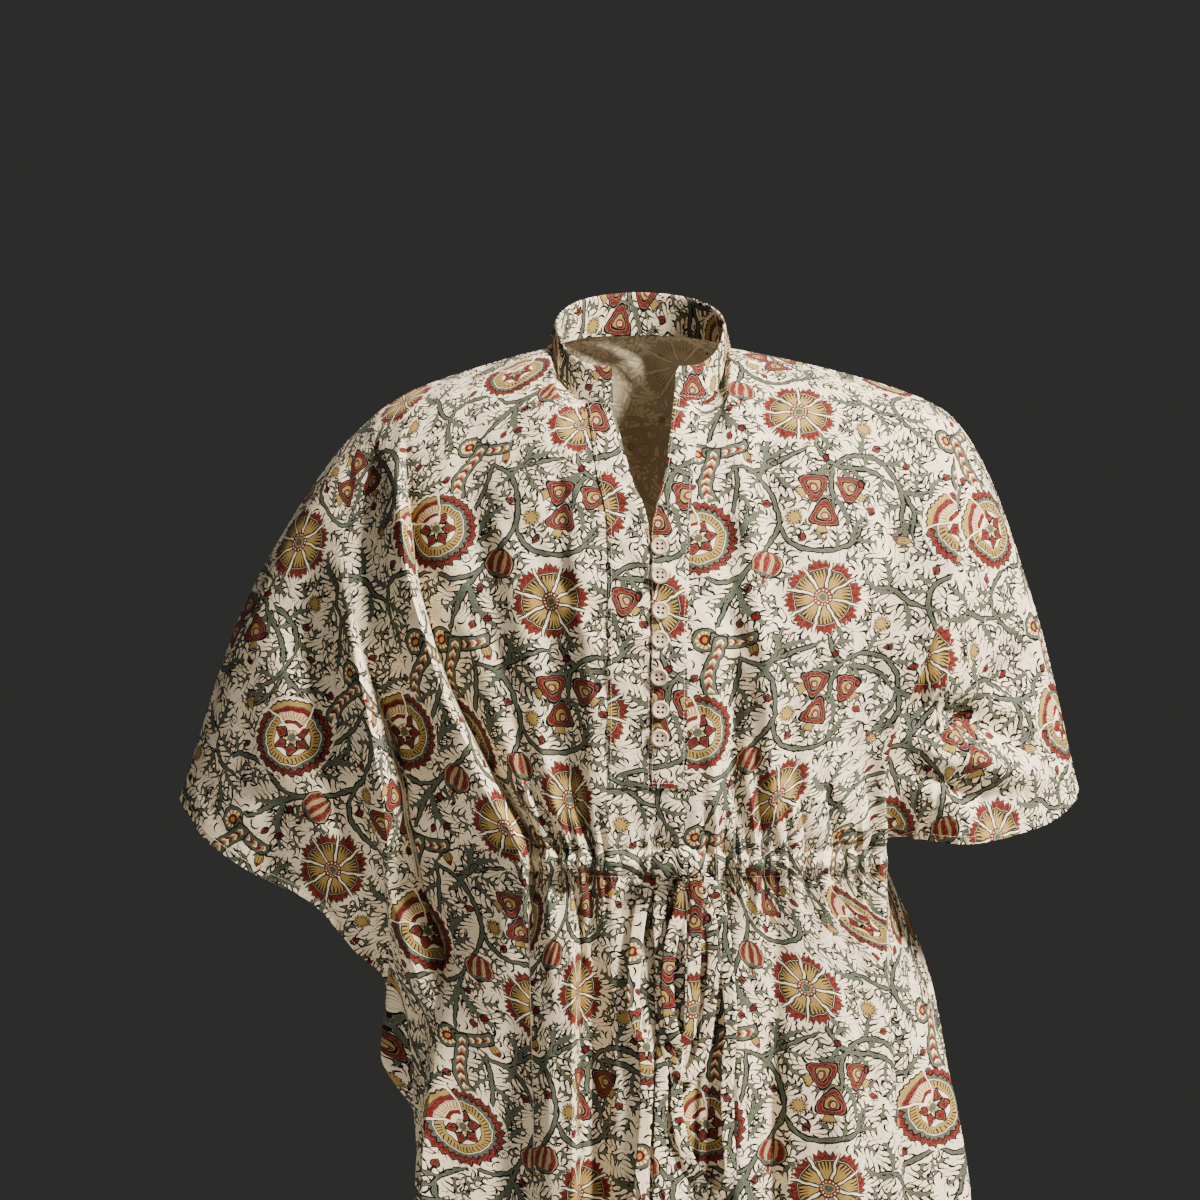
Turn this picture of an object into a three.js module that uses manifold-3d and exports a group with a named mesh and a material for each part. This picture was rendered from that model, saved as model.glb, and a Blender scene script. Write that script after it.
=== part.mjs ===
// A kaftan of printed cotton, cut in one with its batwing sleeves, as it hangs on a wearer:
// the wearer's right arm hangs beside the body, the left arm is bent, and a drawstring gathers the waist in front.
// Units are millimetres. +Z is up, the front faces -Y, and +X is the wearer's left.
// The origin is the middle of the base of the neck, between the two points where neck and shoulders meet.
import * as THREE from "three";
import { mergeVertices } from "three/addons/utils/BufferGeometryUtils.js";
import Module from "manifold-3d";

const wasm = await Module();
wasm.setup();

// ---------- driving dimensions ----------
const CLOTH = 1.6; // wall of a panel
const SEAM = 0.3; // clearance between two sewn pieces
const COLLAR_CLOTH = 2.4; // the band collar is doubled
const PLACKET_UNDER = 1.2; // height of the lower slit band over the front
const PLACKET_OVER = 2.2; // the upper band lies over the lower one
const BUTTON_DIAMETER = 13.5;
const BUTTON_THICK = 2.8;
const BUTTON_GAP = 0.5; // from the upper band to a button's back
const BUTTON_X = 14.5;
const BUTTON_Z = [-145.5, -167, -193, -214, -241, -266, -287];
const TIE_WIDTH = 10;
const TIE_THICK = 3.2;

// ---------- the cloth as rows and fall lines ----------
// A fall line runs down the cloth from the shoulder or the neck seam to the hem. The first and last are the
// two edges: the sleeve's hem down to the underarm, then the side seam.
const LINES = ["edgeL", "sleeveL", "foldL", "pleatL", "neckL", "throatL", "bandL", "slitL",
  "slitR", "bandR", "throatR", "neckR", "foldR", "sleeveR", "edgeR"];
const [EDGE_L, , , PLEAT_L, NECK_L, , BAND_L, SLIT_L,
  SLIT_R, BAND_R, , NECK_R, FOLD_R, , EDGE_R] = LINES.keys();
// A row runs across the cloth, from edge to edge.
const ROWS = ["shoulder", "cap", "throat", "slitEnd", "bust", "placketEnd",
  "casing", "hip", "thigh", "knee", "hem"];
const [SHOULDER, CAP, THROAT, SLIT_END, , PLACKET_END, CASING, , , , HEM] = ROWS.keys();

// Place across, X, of each fall line at each row.
const ACROSS = [
  [-356, -304, -221, -178, -71, -61, -41, -20, 26, 47, 63, 71, 236, 304, 341],
  [-351, -300, -221, -178, -70, -60, -38, -17, 24, 45, 62, 72, 237, 301, 338],
  [-336, -286, -225, -181, -68, -55, -33, -8, 19, 40, 57, 76, 241, 285, 321],
  [-300, -268, -221, -176, -66, -51, -24, 7, 8.5, 37, 57, 81, 239, 259, 292],
  [-251, -238, -208, -151, -58, -43, -24, 7, 8.5, 35, 61, 90, 214, 229, 246],
  [-221, -210, -190, -115, -50, -38, -24, 7, 8.5, 35, 64, 96, 179, 199, 204],
  [-197, -189, -182, -84, -35, -27, -19, 7, 8.5, 37, 67, 101, 178, 184, 188],
  [-202, -188, -158, -83, -38, -28, -18, 7, 8.5, 37, 69, 101, 191, 214, 229],
  [-161, -170, -162, -83, -38, -28, -18, 7, 8.5, 37, 69, 102, 206, 240, 251],
  [-181, -178, -159, -90, -39, -28, -18, 7, 8.5, 39, 71, 109, 214, 259, 272],
  [-198, -193, -169, -99, -45, -31, -19, 7, 8.5, 40, 75, 116, 229, 277, 292],
];
// Height, Z.
const HEIGHT = [
  [-347, -194, -65, -32, 2, -23, -38, -39, -36, -38, -24, 2, -46, -190, -339],
  [-353, -202, -75, -42, -10, -34, -51, -54, -51, -51, -35, -10, -56, -197, -345],
  [-373, -231, -122, -87, -66, -75, -87, -88, -88, -88, -77, -67, -100, -227, -358],
  [-397, -270, -178, -151, -138, -138, -138, -139, -139, -138, -138, -138, -141, -270, -366],
  [-421, -331, -253, -246, -231, -231, -231, -231, -231, -231, -231, -231, -227, -310, -372],
  [-460, -396, -332, -321, -325, -325, -325, -325, -325, -325, -325, -325, -322, -352, -370],
  [-496, -452, -403, -380, -382, -382, -382, -382, -382, -382, -382, -382, -384, -386, -387],
  [-550, -531, -508, -486, -486, -486, -486, -486, -486, -486, -486, -486, -486, -489, -492],
  [-640, -638, -636, -636, -636, -636, -636, -636, -636, -636, -636, -636, -636, -636, -636],
  [-906, -906, -906, -906, -906, -906, -906, -906, -906, -906, -906, -906, -906, -906, -906],
  [-1220, -1220, -1220, -1220, -1220, -1220, -1220, -1220, -1220, -1220, -1220, -1220, -1220, -1220, -1220],
];
// How far the front stands before the plane of the shoulders.
const FRONT_OUT = [
  [0, 0, 0, 0, 0, 34, 56, 64, 64, 56, 34, 0, 0, 0, 0],
  [12, 18, 22, 28, 36, 58, 74, 78, 78, 74, 58, 36, 26, 20, 14],
  [28, 40, 45, 62, 88, 92, 96, 98, 98, 96, 92, 88, 50, 42, 35],
  [44, 58, 68, 84, 108, 110, 112, 113, 113, 112, 110, 108, 72, 66, 62],
  [50, 68, 84, 98, 122, 124, 126, 127, 127, 126, 124, 122, 94, 94, 86],
  [25, 50, 82, 102, 118, 120, 121, 122, 122, 121, 120, 118, 98, 78, 54],
  [-15, 20, 64, 92, 108, 109, 110, 110, 110, 110, 109, 108, 92, 36, -10],
  [-25, 2, 66, 112, 124, 125, 126, 126, 126, 126, 125, 124, 98, 42, -10],
  [-20, 25, 84, 130, 140, 141, 142, 142, 142, 142, 141, 140, 114, 58, 0],
  [-5, 45, 100, 145, 152, 153, 154, 154, 154, 154, 153, 152, 132, 72, 0],
  [0, 58, 112, 158, 166, 167, 168, 168, 168, 168, 167, 166, 150, 84, 0],
];
// How far the back stands behind it. From the underarm down the edges follow the front's, seam to seam.
const BACK_OUT = [
  [0, 0, 0, 0, 0, 30, 50, 57, 57, 50, 30, 0, 0, 0, 0],
  [12, 18, 24, 30, 36, 56, 64, 66, 66, 64, 56, 36, 28, 20, 14],
  [28, 42, 56, 72, 84, 88, 90, 90, 90, 90, 88, 84, 64, 46, 34],
  [42, 60, 76, 92, 100, 102, 103, 103, 103, 103, 102, 100, 84, 64, 48],
  [46, 66, 84, 98, 104, 105, 105, 105, 105, 105, 105, 104, 90, 70, 50],
  [34, 56, 80, 96, 102, 102, 102, 102, 102, 102, 102, 102, 92, 64, 34],
  [15, 44, 78, 94, 100, 100, 100, 100, 100, 100, 100, 100, 88, 52, 10],
  [25, 50, 84, 100, 106, 106, 106, 106, 106, 106, 106, 106, 96, 60, 10],
  [20, 58, 96, 112, 118, 118, 118, 118, 118, 118, 118, 118, 108, 70, 0],
  [5, 64, 110, 130, 134, 134, 134, 134, 134, 134, 134, 134, 124, 80, 0],
  [0, 74, 124, 146, 150, 150, 150, 150, 150, 150, 150, 150, 140, 92, 0],
];
// The back has no slit, and its neck seam is higher: X and Z of its six neck lines in the first rows.
const BACK_NECK = [
  { row: SHOULDER, across: [-58, -35, -9, 9, 35, 58], height: [7, 11, 12, 12, 11, 7] },
  { row: CAP, across: [-56, -34, -9, 10, 35, 57], height: [-4, -2, -1, -1, -2, -4] },
  { row: THROAT, across: [-52, -30, -6, 12, 36, 58], height: [-66, -66, -66, -66, -66, -66] },
  { row: SLIT_END, across: [-48, -27, -5, 16, 38, 60], height: [-138, -138, -138, -138, -138, -138] },
];

// ---------- folds ----------
// A pleat is a step in the cloth along a fall line: the cloth on its left stands up and leans over the cloth on
// its right. line is the fall line it runs along from row1 to row2, rise and drop are the heights on its two
// sides, soft1 and soft2 how far they spread, and fade1 and fade2 the rows over which it starts and ends.
const PLEATS = [
  { line: 3, row1: 1.3, row2: 6.5, rise: 12, drop: 15, soft1: 26, soft2: 24, lean: 6, fade1: 1.6, fade2: 0.3 },
  { line: 2, row1: 3.1, row2: 7.0, rise: 16, drop: 26, soft1: 46, soft2: 30, lean: 7, fade1: 1.6, fade2: 0.5 },
  { line: 3.62, row1: 6.15, row2: 10, rise: 12, drop: 14, soft1: 22, soft2: 16, lean: 5, fade1: 0.5, fade2: 0.1 },
  { line: 12, row1: 1.9, row2: 6.0, rise: 8, drop: 14, soft1: 20, soft2: 16, lean: 4, fade1: 1.5, fade2: 0.5 },
];
const PLEAT_STEP = 3; // half the width over which a pleat steps down
const LEAN_REACH = 9; // how far from the step the cloth leans
// A soft fold is a smooth ridge (depth over 0) or trough (under 0) along a fall line.
const FRONT_FOLDS = [
  { line1: 1.3, row1: 1.5, line2: 1.5, row2: 5.2, width: 30, depth: -9 },
  { line1: 0.6, row1: 2.2, line2: 0.8, row2: 6.2, width: 22, depth: 6 },
  { line1: 2.5, row1: 0.8, line2: 2.4, row2: 6.0, width: 16, depth: -7 },
  { line1: 3.4, row1: 1.2, line2: 3.55, row2: 5.9, width: 15, depth: -5 },
  { line1: 3.8, row1: 2.6, line2: 3.85, row2: 6.0, width: 12, depth: -5 },
  { line1: 10.4, row1: 3.4, line2: 10.2, row2: 6.0, width: 8, depth: -5 },
  { line1: 11.3, row1: 0.6, line2: 11.1, row2: 4.2, width: 12, depth: -5 },
  { line1: 11.7, row1: 1.4, line2: 11.6, row2: 5.6, width: 14, depth: -6 },
  { line1: 13.2, row1: 0.9, line2: 13.0, row2: 3.8, width: 18, depth: -7 },
  { line1: 0.9, row1: 6.1, line2: 0.9, row2: 9.2, width: 20, depth: -12 },
  { line1: 2.2, row1: 6.6, line2: 2.1, row2: 10, width: 14, depth: 9 },
  { line1: 2.8, row1: 6.8, line2: 2.7, row2: 10, width: 18, depth: -9 },
  { line1: 4.6, row1: 6.4, line2: 4.5, row2: 10, width: 12, depth: -8 },
  { line1: 7.5, row1: 7.0, line2: 7.5, row2: 10, width: 18, depth: 8 },
  { line1: 9.4, row1: 6.4, line2: 9.2, row2: 10, width: 14, depth: -10 },
  { line1: 11.0, row1: 6.4, line2: 11.0, row2: 10, width: 14, depth: -10 },
  { line1: 11.5, row1: 6.4, line2: 11.5, row2: 10, width: 15, depth: 9 },
  { line1: 12.2, row1: 6.3, line2: 12.1, row2: 10, width: 15, depth: -10 },
  { line1: 13.0, row1: 6.6, line2: 13.0, row2: 10, width: 16, depth: 9 },
];
const BACK_FOLDS = [
  { line1: 1.2, row1: 1.4, line2: 1.5, row2: 5.4, width: 28, depth: -9 },
  { line1: 2.4, row1: 1.2, line2: 2.6, row2: 10, width: 24, depth: -13 },
  { line1: 3.5, row1: 2.4, line2: 3.4, row2: 10, width: 22, depth: 11 },
  { line1: 4.3, row1: 4.0, line2: 4.6, row2: 10, width: 20, depth: -12 },
  { line1: 6.5, row1: 4.4, line2: 6.6, row2: 10, width: 22, depth: 11 },
  { line1: 8.6, row1: 3.6, line2: 8.7, row2: 10, width: 20, depth: -12 },
  { line1: 10.2, row1: 4.2, line2: 10.4, row2: 10, width: 22, depth: 10 },
  { line1: 11.4, row1: 2.2, line2: 11.5, row2: 10, width: 22, depth: -13 },
  { line1: 12.2, row1: 3.4, line2: 12.3, row2: 10, width: 24, depth: 10 },
  { line1: 13.0, row1: 1.2, line2: 12.9, row2: 5.6, width: 26, depth: -9 },
];
// Folds that cross the fall lines: from one point to another in X and Z, with a bow to the side.
const CROSS_FOLDS = [
  { x1: 196, z1: -268, x2: 262, z2: -338, bow: -6, width: 10, depth: -13 },
  { x1: 214, z1: -300, x2: 300, z2: -332, bow: 4, width: 13, depth: 7 },
  { x1: -300, z1: -352, x2: -232, z2: -300, bow: 4, width: 16, depth: -6 },
];
// The drawstring's tuck gathers the front: groups of pleats between two places across.
const GATHERS = [
  { from: -97, to: -30, count: 8, depth: 4.6, up: 62, down: 70 },
  { from: -18, to: 38, count: 5, depth: 1.6, up: 30, down: 40 },
  { from: 47, to: 176, count: 13, depth: 4.2, up: 56, down: 64 },
];
const TUCK = { from: -98, to: 180, fade: 8, swell: 3.2, half: 5.5, groove: 1.6, grooveHalf: 3 };

// ---------- small functions ----------
const clamp = (t) => Math.min(1, Math.max(0, t));
const smooth = (t) => { const c = clamp(t); return c * c * (3 - 2 * c); };
const mix = (a, b, t) => a + (b - a) * t;

// Slopes of a monotone cubic through values at whole numbers, so that it never overshoots a value.
function slopes(values) {
  const steps = values.slice(1).map((value, i) => value - values[i]);
  return values.map((_, i) => {
    const before = steps[i - 1] ?? steps[i];
    const after = steps[i] ?? steps[i - 1];
    return before * after > 0 ? (2 * before * after) / (before + after) : 0;
  });
}

function cubic(values, rates, place) {
  const i = Math.min(Math.floor(place), values.length - 2);
  const t = place - i;
  const t2 = t * t;
  const t3 = t2 * t;
  return (2 * t3 - 3 * t2 + 1) * values[i] + (t3 - 2 * t2 + t) * rates[i]
    + (3 * t2 - 2 * t3) * values[i + 1] + (t3 - t2) * rates[i + 1];
}

const columnOf = (table, line) => table.map((row) => row[line]);

// The fall lines of a table, each with its slopes at the rows.
const fallLines = (table) => LINES.map((_, line) => {
  const values = columnOf(table, line);
  return { values, rates: slopes(values) };
});

// A panel's smooth form: facing is -1 for the front and 1 for the back.
function panel(across, height, out, facing) {
  const tables = [fallLines(across), fallLines(height), out];
  const kept = new Map();
  // One row of the panel, with the length along it from the left edge.
  function rowAt(row) {
    const key = row.toFixed(6);
    if (!kept.has(key)) {
      const curves = tables.map((table) => {
        const values = table.map((column) => cubic(column.values, column.rates, row));
        return { values, rates: slopes(values) };
      });
      const at = (line) => new THREE.Vector3(
        cubic(curves[0].values, curves[0].rates, line),
        facing * (cubic(curves[2].values, curves[2].rates, line) + SEAM / 2),
        cubic(curves[1].values, curves[1].rates, line));
      const pieces = 10 * (LINES.length - 1);
      const lengths = [0];
      let last = at(0);
      for (let i = 1; i <= pieces; i++) {
        const next = at(i / 10);
        lengths.push(lengths[i - 1] + next.distanceTo(last));
        last = next;
      }
      const along = (line) => {
        const i = Math.min(Math.floor(line * 10), pieces - 1);
        return mix(lengths[i], lengths[i + 1], line * 10 - i);
      };
      kept.set(key, { at, along });
    }
    return kept.get(key);
  }
  return { rowAt, facing };
}

const backAcross = ACROSS.map((row) => [...row]);
const backHeight = HEIGHT.map((row) => [...row]);
// The hems of the sleeves ride up a little behind.
const HEM_RISE = [0, 3, 7, 9, 9, 5, 0, 0, 0, 0, 0];
HEM_RISE.forEach((rise, row) => {
  backHeight[row][EDGE_L] += rise;
  backHeight[row][EDGE_R] += rise;
});
for (const { row, across, height } of BACK_NECK) {
  across.forEach((x, i) => { backAcross[row][NECK_L + 1 + i] = x; });
  height.forEach((z, i) => { backHeight[row][NECK_L + 1 + i] = z; });
}
const frontOut = fallLines(FRONT_OUT);
const backOut = fallLines(BACK_OUT);
// The side seams: below the underarm the back's edges lie on the front's.
for (const line of [EDGE_L, EDGE_R]) {
  for (let row = CASING; row <= HEM; row++) {
    backOut[line].values[row] = -frontOut[line].values[row];
    backOut[line].rates[row] = -frontOut[line].rates[row];
  }
}
const frontPanel = panel(ACROSS, HEIGHT, frontOut, -1);
const backPanel = panel(backAcross, backHeight, backOut, 1);

const SOFT_FADE = 0.4; // share of a soft fold's rows over which it starts, and over which it ends

// How much of a fold there is at this row, and its distance along the row from this fall line.
function foldAt(form, fold, line, row, fade1, fade2) {
  const share = (row - fold.row1) / (fold.row2 - fold.row1);
  const there = smooth((row - fold.row1) / fade1) * (fold.row2 >= HEM ? 1 : smooth((fold.row2 - row) / fade2));
  if (there === 0) return { there, away: 0 };
  const { along } = form.rowAt(row);
  const middle = fold.line ?? mix(fold.line1, fold.line2, clamp(share));
  return { there, away: along(line) - along(middle) };
}

function softFolds(form, folds, line, row) {
  let sum = 0;
  for (const fold of folds) {
    const fade = SOFT_FADE * (fold.row2 - fold.row1);
    const { there, away } = foldAt(form, fold, line, row, fade, fade);
    sum += there * fold.depth * Math.exp(-((away / fold.width) ** 2));
  }
  return sum;
}

// Height of the pleats, and how far they lean across.
function pleats(form, line, row) {
  let up = 0;
  let lean = 0;
  for (const fold of PLEATS) {
    const { there, away } = foldAt(form, fold, line, row, fold.fade1, fold.fade2);
    const right = smooth((away + PLEAT_STEP) / (2 * PLEAT_STEP));
    const left = (1 - right) * Math.exp(Math.min(away, 0) / fold.soft1);
    up += there * (fold.rise * left - fold.drop * right * Math.exp(-Math.max(away, 0) / fold.soft2));
    lean += there * fold.lean * (1 - right) * Math.exp(Math.min(away, 0) / LEAN_REACH);
  }
  return { up, lean };
}

function crossFolds(x, z) {
  let sum = 0;
  for (const fold of CROSS_FOLDS) {
    const [dx, dz] = [fold.x2 - fold.x1, fold.z2 - fold.z1];
    const length = Math.hypot(dx, dz);
    const share = ((x - fold.x1) * dx + (z - fold.z1) * dz) / length ** 2;
    if (share <= 0 || share >= 1) continue;
    const side = ((x - fold.x1) * dz - (z - fold.z1) * dx) / length - fold.bow * 4 * share * (1 - share);
    sum += fold.depth * Math.sin(Math.PI * share) * Math.exp(-((side / fold.width) ** 2));
  }
  return sum;
}

// Fall line that crosses the casing row at this X.
const lineAtWaist = (x) => solve((line) => frontPanel.rowAt(CASING).at(line).x, x, EDGE_L, EDGE_R);

// Uneven shares between 0 and 1, the same each time.
const unevenWidth = (i) => (0.35 + i * 0.618) % 1;
const unevenReach = (i) => (0.2 + i * 0.382) % 1;
const GATHER_SHIFT = 0.35; // how far a gather strays from its even place, in gathers
const GATHER_HALF = 0.24; // half width of a gather, in gathers
const GATHER_SPREAD = 0.05; // how fast a gather widens away from the tuck
const GATHER_NEAR = 40; // how far across a gather is felt
const GATHER_BASE = 0.35; // share by which the cloth between the gathers stands out
const GATHERS_TOP = 150; // heights from the tuck past which there are no gathers
const GATHERS_BOTTOM = -190;

const GATHERED = GATHERS.flatMap((group) =>
  Array.from({ length: group.count }, (_, i) => {
    const spread = unevenWidth(i);
    const x = mix(group.from, group.to, (i + 0.5 + GATHER_SHIFT * (spread - 0.5)) / group.count);
    const reach = 0.45 + 0.9 * unevenReach(i);
    const half = (GATHER_HALF * (group.to - group.from)) / group.count;
    const depth = group.depth * (0.75 + 0.5 * spread);
    const [up, down] = [group.up * reach, group.down * (1.3 - 0.5 * reach)];
    return { line: lineAtWaist(x), half, depth, up, down };
  }));

function gathers(line, row) {
  const { at, along } = frontPanel.rowAt(row);
  const above = at(SLIT_L).z - HEIGHT[CASING][SLIT_L];
  if (above > GATHERS_TOP || above < GATHERS_BOTTOM) return 0;
  let sum = 0;
  for (const fold of GATHERED) {
    const reach = above > 0 ? fold.up : fold.down;
    const half = fold.half + GATHER_SPREAD * Math.abs(above);
    const away = along(line) - along(fold.line);
    const shape = Math.exp(-((away / half) ** 2)) - GATHER_BASE;
    sum -= fold.depth * shape * Math.exp(-((above / reach) ** 2)) * Math.exp(-((away / GATHER_NEAR) ** 2));
  }
  const x = at(line).x;
  const inTuck = smooth((x - TUCK.from) / TUCK.fade) * smooth((TUCK.to - x) / TUCK.fade);
  const swell = TUCK.swell * Math.exp(-((above / TUCK.half) ** 2));
  const groove = TUCK.groove * Math.exp(-(((Math.abs(above) - 2 * TUCK.half) / TUCK.grooveHalf) ** 2));
  return sum + inTuck * (swell - groove);
}

// Outward direction of a smooth or a folded form, from its neighbours.
function outward(pointAt, line, row, facing) {
  const step = 0.01;
  const lastLine = LINES.length - 1;
  const across = pointAt(Math.min(line + step, lastLine), row).sub(pointAt(Math.max(line - step, 0), row));
  const down = pointAt(line, Math.min(row + step, HEM)).sub(pointAt(line, Math.max(row - step, 0)));
  return across.cross(down).multiplyScalar(facing).normalize();
}

// Folds fade out where the panel is sewn: at the shoulder and neck, and at the side seams below the underarm.
function freeOfSeams(line, row) {
  const side = smooth(Math.min(line, EDGE_R - line) / 0.6);
  return smooth(row / 0.8) * mix(1, side, smooth((row - PLACKET_END) / 0.9));
}

function frontPoint(line, row) {
  const smoothPoint = (l, r) => frontPanel.rowAt(r).at(l);
  const point = smoothPoint(line, row);
  const { up, lean } = pleats(frontPanel, line, row);
  const soft = softFolds(frontPanel, FRONT_FOLDS, line, row);
  const rise = up + soft + gathers(line, row) + crossFolds(point.x, point.z);
  const free = freeOfSeams(line, row);
  point.addScaledVector(outward(smoothPoint, line, row, -1), rise * free);
  point.x += lean * free;
  return point;
}

function backPoint(line, row) {
  const smoothPoint = (l, r) => backPanel.rowAt(r).at(l);
  const rise = softFolds(backPanel, BACK_FOLDS, line, row) * freeOfSeams(line, row);
  return smoothPoint(line, row).addScaledVector(outward(smoothPoint, line, row, 1), rise);
}

// Value between low and high at which a rising function passes a target.
function solve(rising, target, low, high) {
  let [from, to] = [low, high];
  for (let i = 0; i < 40; i++) {
    const middle = (from + to) / 2;
    if (rising(middle) < target) from = middle;
    else to = middle;
  }
  return from;
}

// Row and fall line of the front at a place near its middle.
function placeOn(x, z) {
  const row = solve((r) => -frontPanel.rowAt(r).at(SLIT_R).z, -z, SHOULDER, HEM);
  const line = solve((l) => frontPanel.rowAt(row).at(l).x, x, PLEAT_L, FOLD_R);
  return { line, row };
}

// How far the folded front stands out over a width round a place.
function clothOut(x, z, half) {
  return Math.max(...[-1, -0.5, 0, 0.5, 1].map((share) => {
    const { line, row } = placeOn(x + share * half, z);
    return -frontPoint(line, row).y;
  }));
}

// ---------- solids ----------
// Whole numbers from first to last with each span split, and extra places close to a sharp fold.
function splits(spans, extra = []) {
  const places = [0];
  spans.forEach((count, i) => {
    for (let j = 1; j <= count; j++) places.push(i + j / count);
  });
  return [...new Set([...places, ...extra])].sort((a, b) => a - b);
}

// Joins two rows of points, which may differ in number, with triangles.
function zip(upper, lower, faces) {
  let [i, j] = [0, 0];
  while (i < upper.length - 1 || j < lower.length - 1) {
    const nextUpper = i < upper.length - 1 ? upper[i + 1].place : Infinity;
    const nextLower = j < lower.length - 1 ? lower[j + 1].place : Infinity;
    if (nextUpper <= nextLower) {
      faces.push([upper[i].index, lower[j].index, upper[i + 1].index]);
      i += 1;
    } else {
      faces.push([upper[i].index, lower[j].index, lower[j + 1].index]);
      j += 1;
    }
  }
}

// A closed wall: outer points, the same points moved by thickness against their normals, and a rim on each
// free edge.
function wall(outer, normals, faces, thickness) {
  const count = outer.length;
  const inner = outer.map((point, i) => point.clone().addScaledVector(normals[i], -thickness));
  const all = [...faces, ...faces.map(([a, b, c]) => [a + count, c + count, b + count])];
  const edges = new Map();
  for (const [a, b, c] of faces) {
    for (const [from, to] of [[a, b], [b, c], [c, a]]) {
      const reverse = `${to},${from}`;
      if (edges.has(reverse)) edges.delete(reverse);
      else edges.set(`${from},${to}`, [from, to]);
    }
  }
  for (const [from, to] of edges.values()) {
    all.push([from, from + count, to + count], [from, to + count, to]);
  }
  const geometry = new THREE.BufferGeometry();
  const places = [...outer, ...inner].flatMap((point) => point.toArray());
  geometry.setAttribute("position", new THREE.Float32BufferAttribute(places, 3));
  geometry.setIndex(all.flat());
  return geometry;
}

const HARD_PLACES = [2.0, 3.0, 3.62, 12.0].flatMap((line) => [line - 0.05, line + 0.05, line + 0.1]);
const PLAIN_LINES = splits([3, 4, 5, 4, 1, 1, 2, 1, 2, 1, 2, 6, 4, 3], HARD_PLACES);
const GATHERED_LINES = splits([2, 3, 3, 1, 1, 1, 1, 1, 1, 1, 1, 1, 3, 2], [
  ...HARD_PLACES,
  ...GATHERED.flatMap(({ line }, i) => [line, (line + (GATHERED[i + 1]?.line ?? line + 0.1)) / 2])]);
const FRONT_ROWS = [0, 0.35, 0.7, 1, 1.4, 1.8, 2.2, 2.6, 3, 3.4, 3.8, 4.2, 4.6, 5, 5.3, 5.6, 5.8, 5.92,
  6, 6.06, 6.16, 6.36, 6.64, 7, 7.5, 8, 8.5, 9, 9.5, 10];
const GATHERED_FROM = 5.5;
const GATHERED_TO = 6.5;
const BACK_LINES = splits([2, 4, 4, 3, 1, 1, 1, 1, 1, 1, 1, 4, 4, 2]);
// Below the underarm the back has the front's rows, so that the side seams meet point to point.
const BACK_ROWS = [0, 0.35, 0.7, 1, 1.5, 2, 2.5, 3, 3.5, 4, 4.5, 5, 5.5,
  ...FRONT_ROWS.filter((row) => row >= CASING)];

function panelSolid(pointAt, facing, rows, linesOf, slit) {
  const points = [];
  const normals = [];
  const grid = rows.map((row) => linesOf(row).map((line) => {
    const normal = outward(pointAt, line, row, facing);
    // At a seam with the other panel the wall ends square, in the plane of the seam.
    const onShoulder = row === SHOULDER && (line <= NECK_L || line >= NECK_R);
    const onSide = (line === EDGE_L || line === EDGE_R) && row >= CASING;
    if (onShoulder || onSide) normal.setY(0).normalize();
    points.push(pointAt(line, row));
    normals.push(normal);
    return { place: line, index: points.length - 1 };
  }));
  const faces = [];
  for (let i = 0; i < rows.length - 1; i++) {
    const [upper, lower] = [grid[i], grid[i + 1]];
    if (slit && rows[i] < SLIT_END) {
      const left = (p) => p.place <= SLIT_L;
      const right = (p) => p.place >= SLIT_R;
      zip(upper.filter(left), lower.filter(left), faces);
      zip(upper.filter(right), lower.filter(right), faces);
    } else zip(upper, lower, faces);
  }
  // zip turns its faces towards the side where across x down points, which is inside the front.
  const out = facing > 0 ? faces.map(([a, b, c]) => [a, c, b]) : faces;
  return wall(points, normals, out, CLOTH);
}

function frontSolid() {
  const linesOf = (row) => (row >= GATHERED_FROM && row <= GATHERED_TO ? GATHERED_LINES : PLAIN_LINES);
  return panelSolid(frontPoint, -1, FRONT_ROWS, linesOf, true);
}

const backSolid = () => panelSolid(backPoint, 1, BACK_ROWS, () => BACK_LINES, false);

// The band collar stands on the neck seam, from the slit's left side round the back to its right side. Its top edge
// leans in over its foot: top of the band at places round the neck.
const COLLAR_TOP = [
  [-21, -57, -11], [-40, -50, -9], [-55, -32, 1], [-64, 2, 24], [-54, 27, 36], [-33, 45, 43], [0, 53, 46],
  [34, 45, 43], [56, 27, 36], [66, 2, 24], [60, -32, 1], [46, -50, -9], [28, -57, -11]];
const COLLAR_GAP = 0.5;

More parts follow.
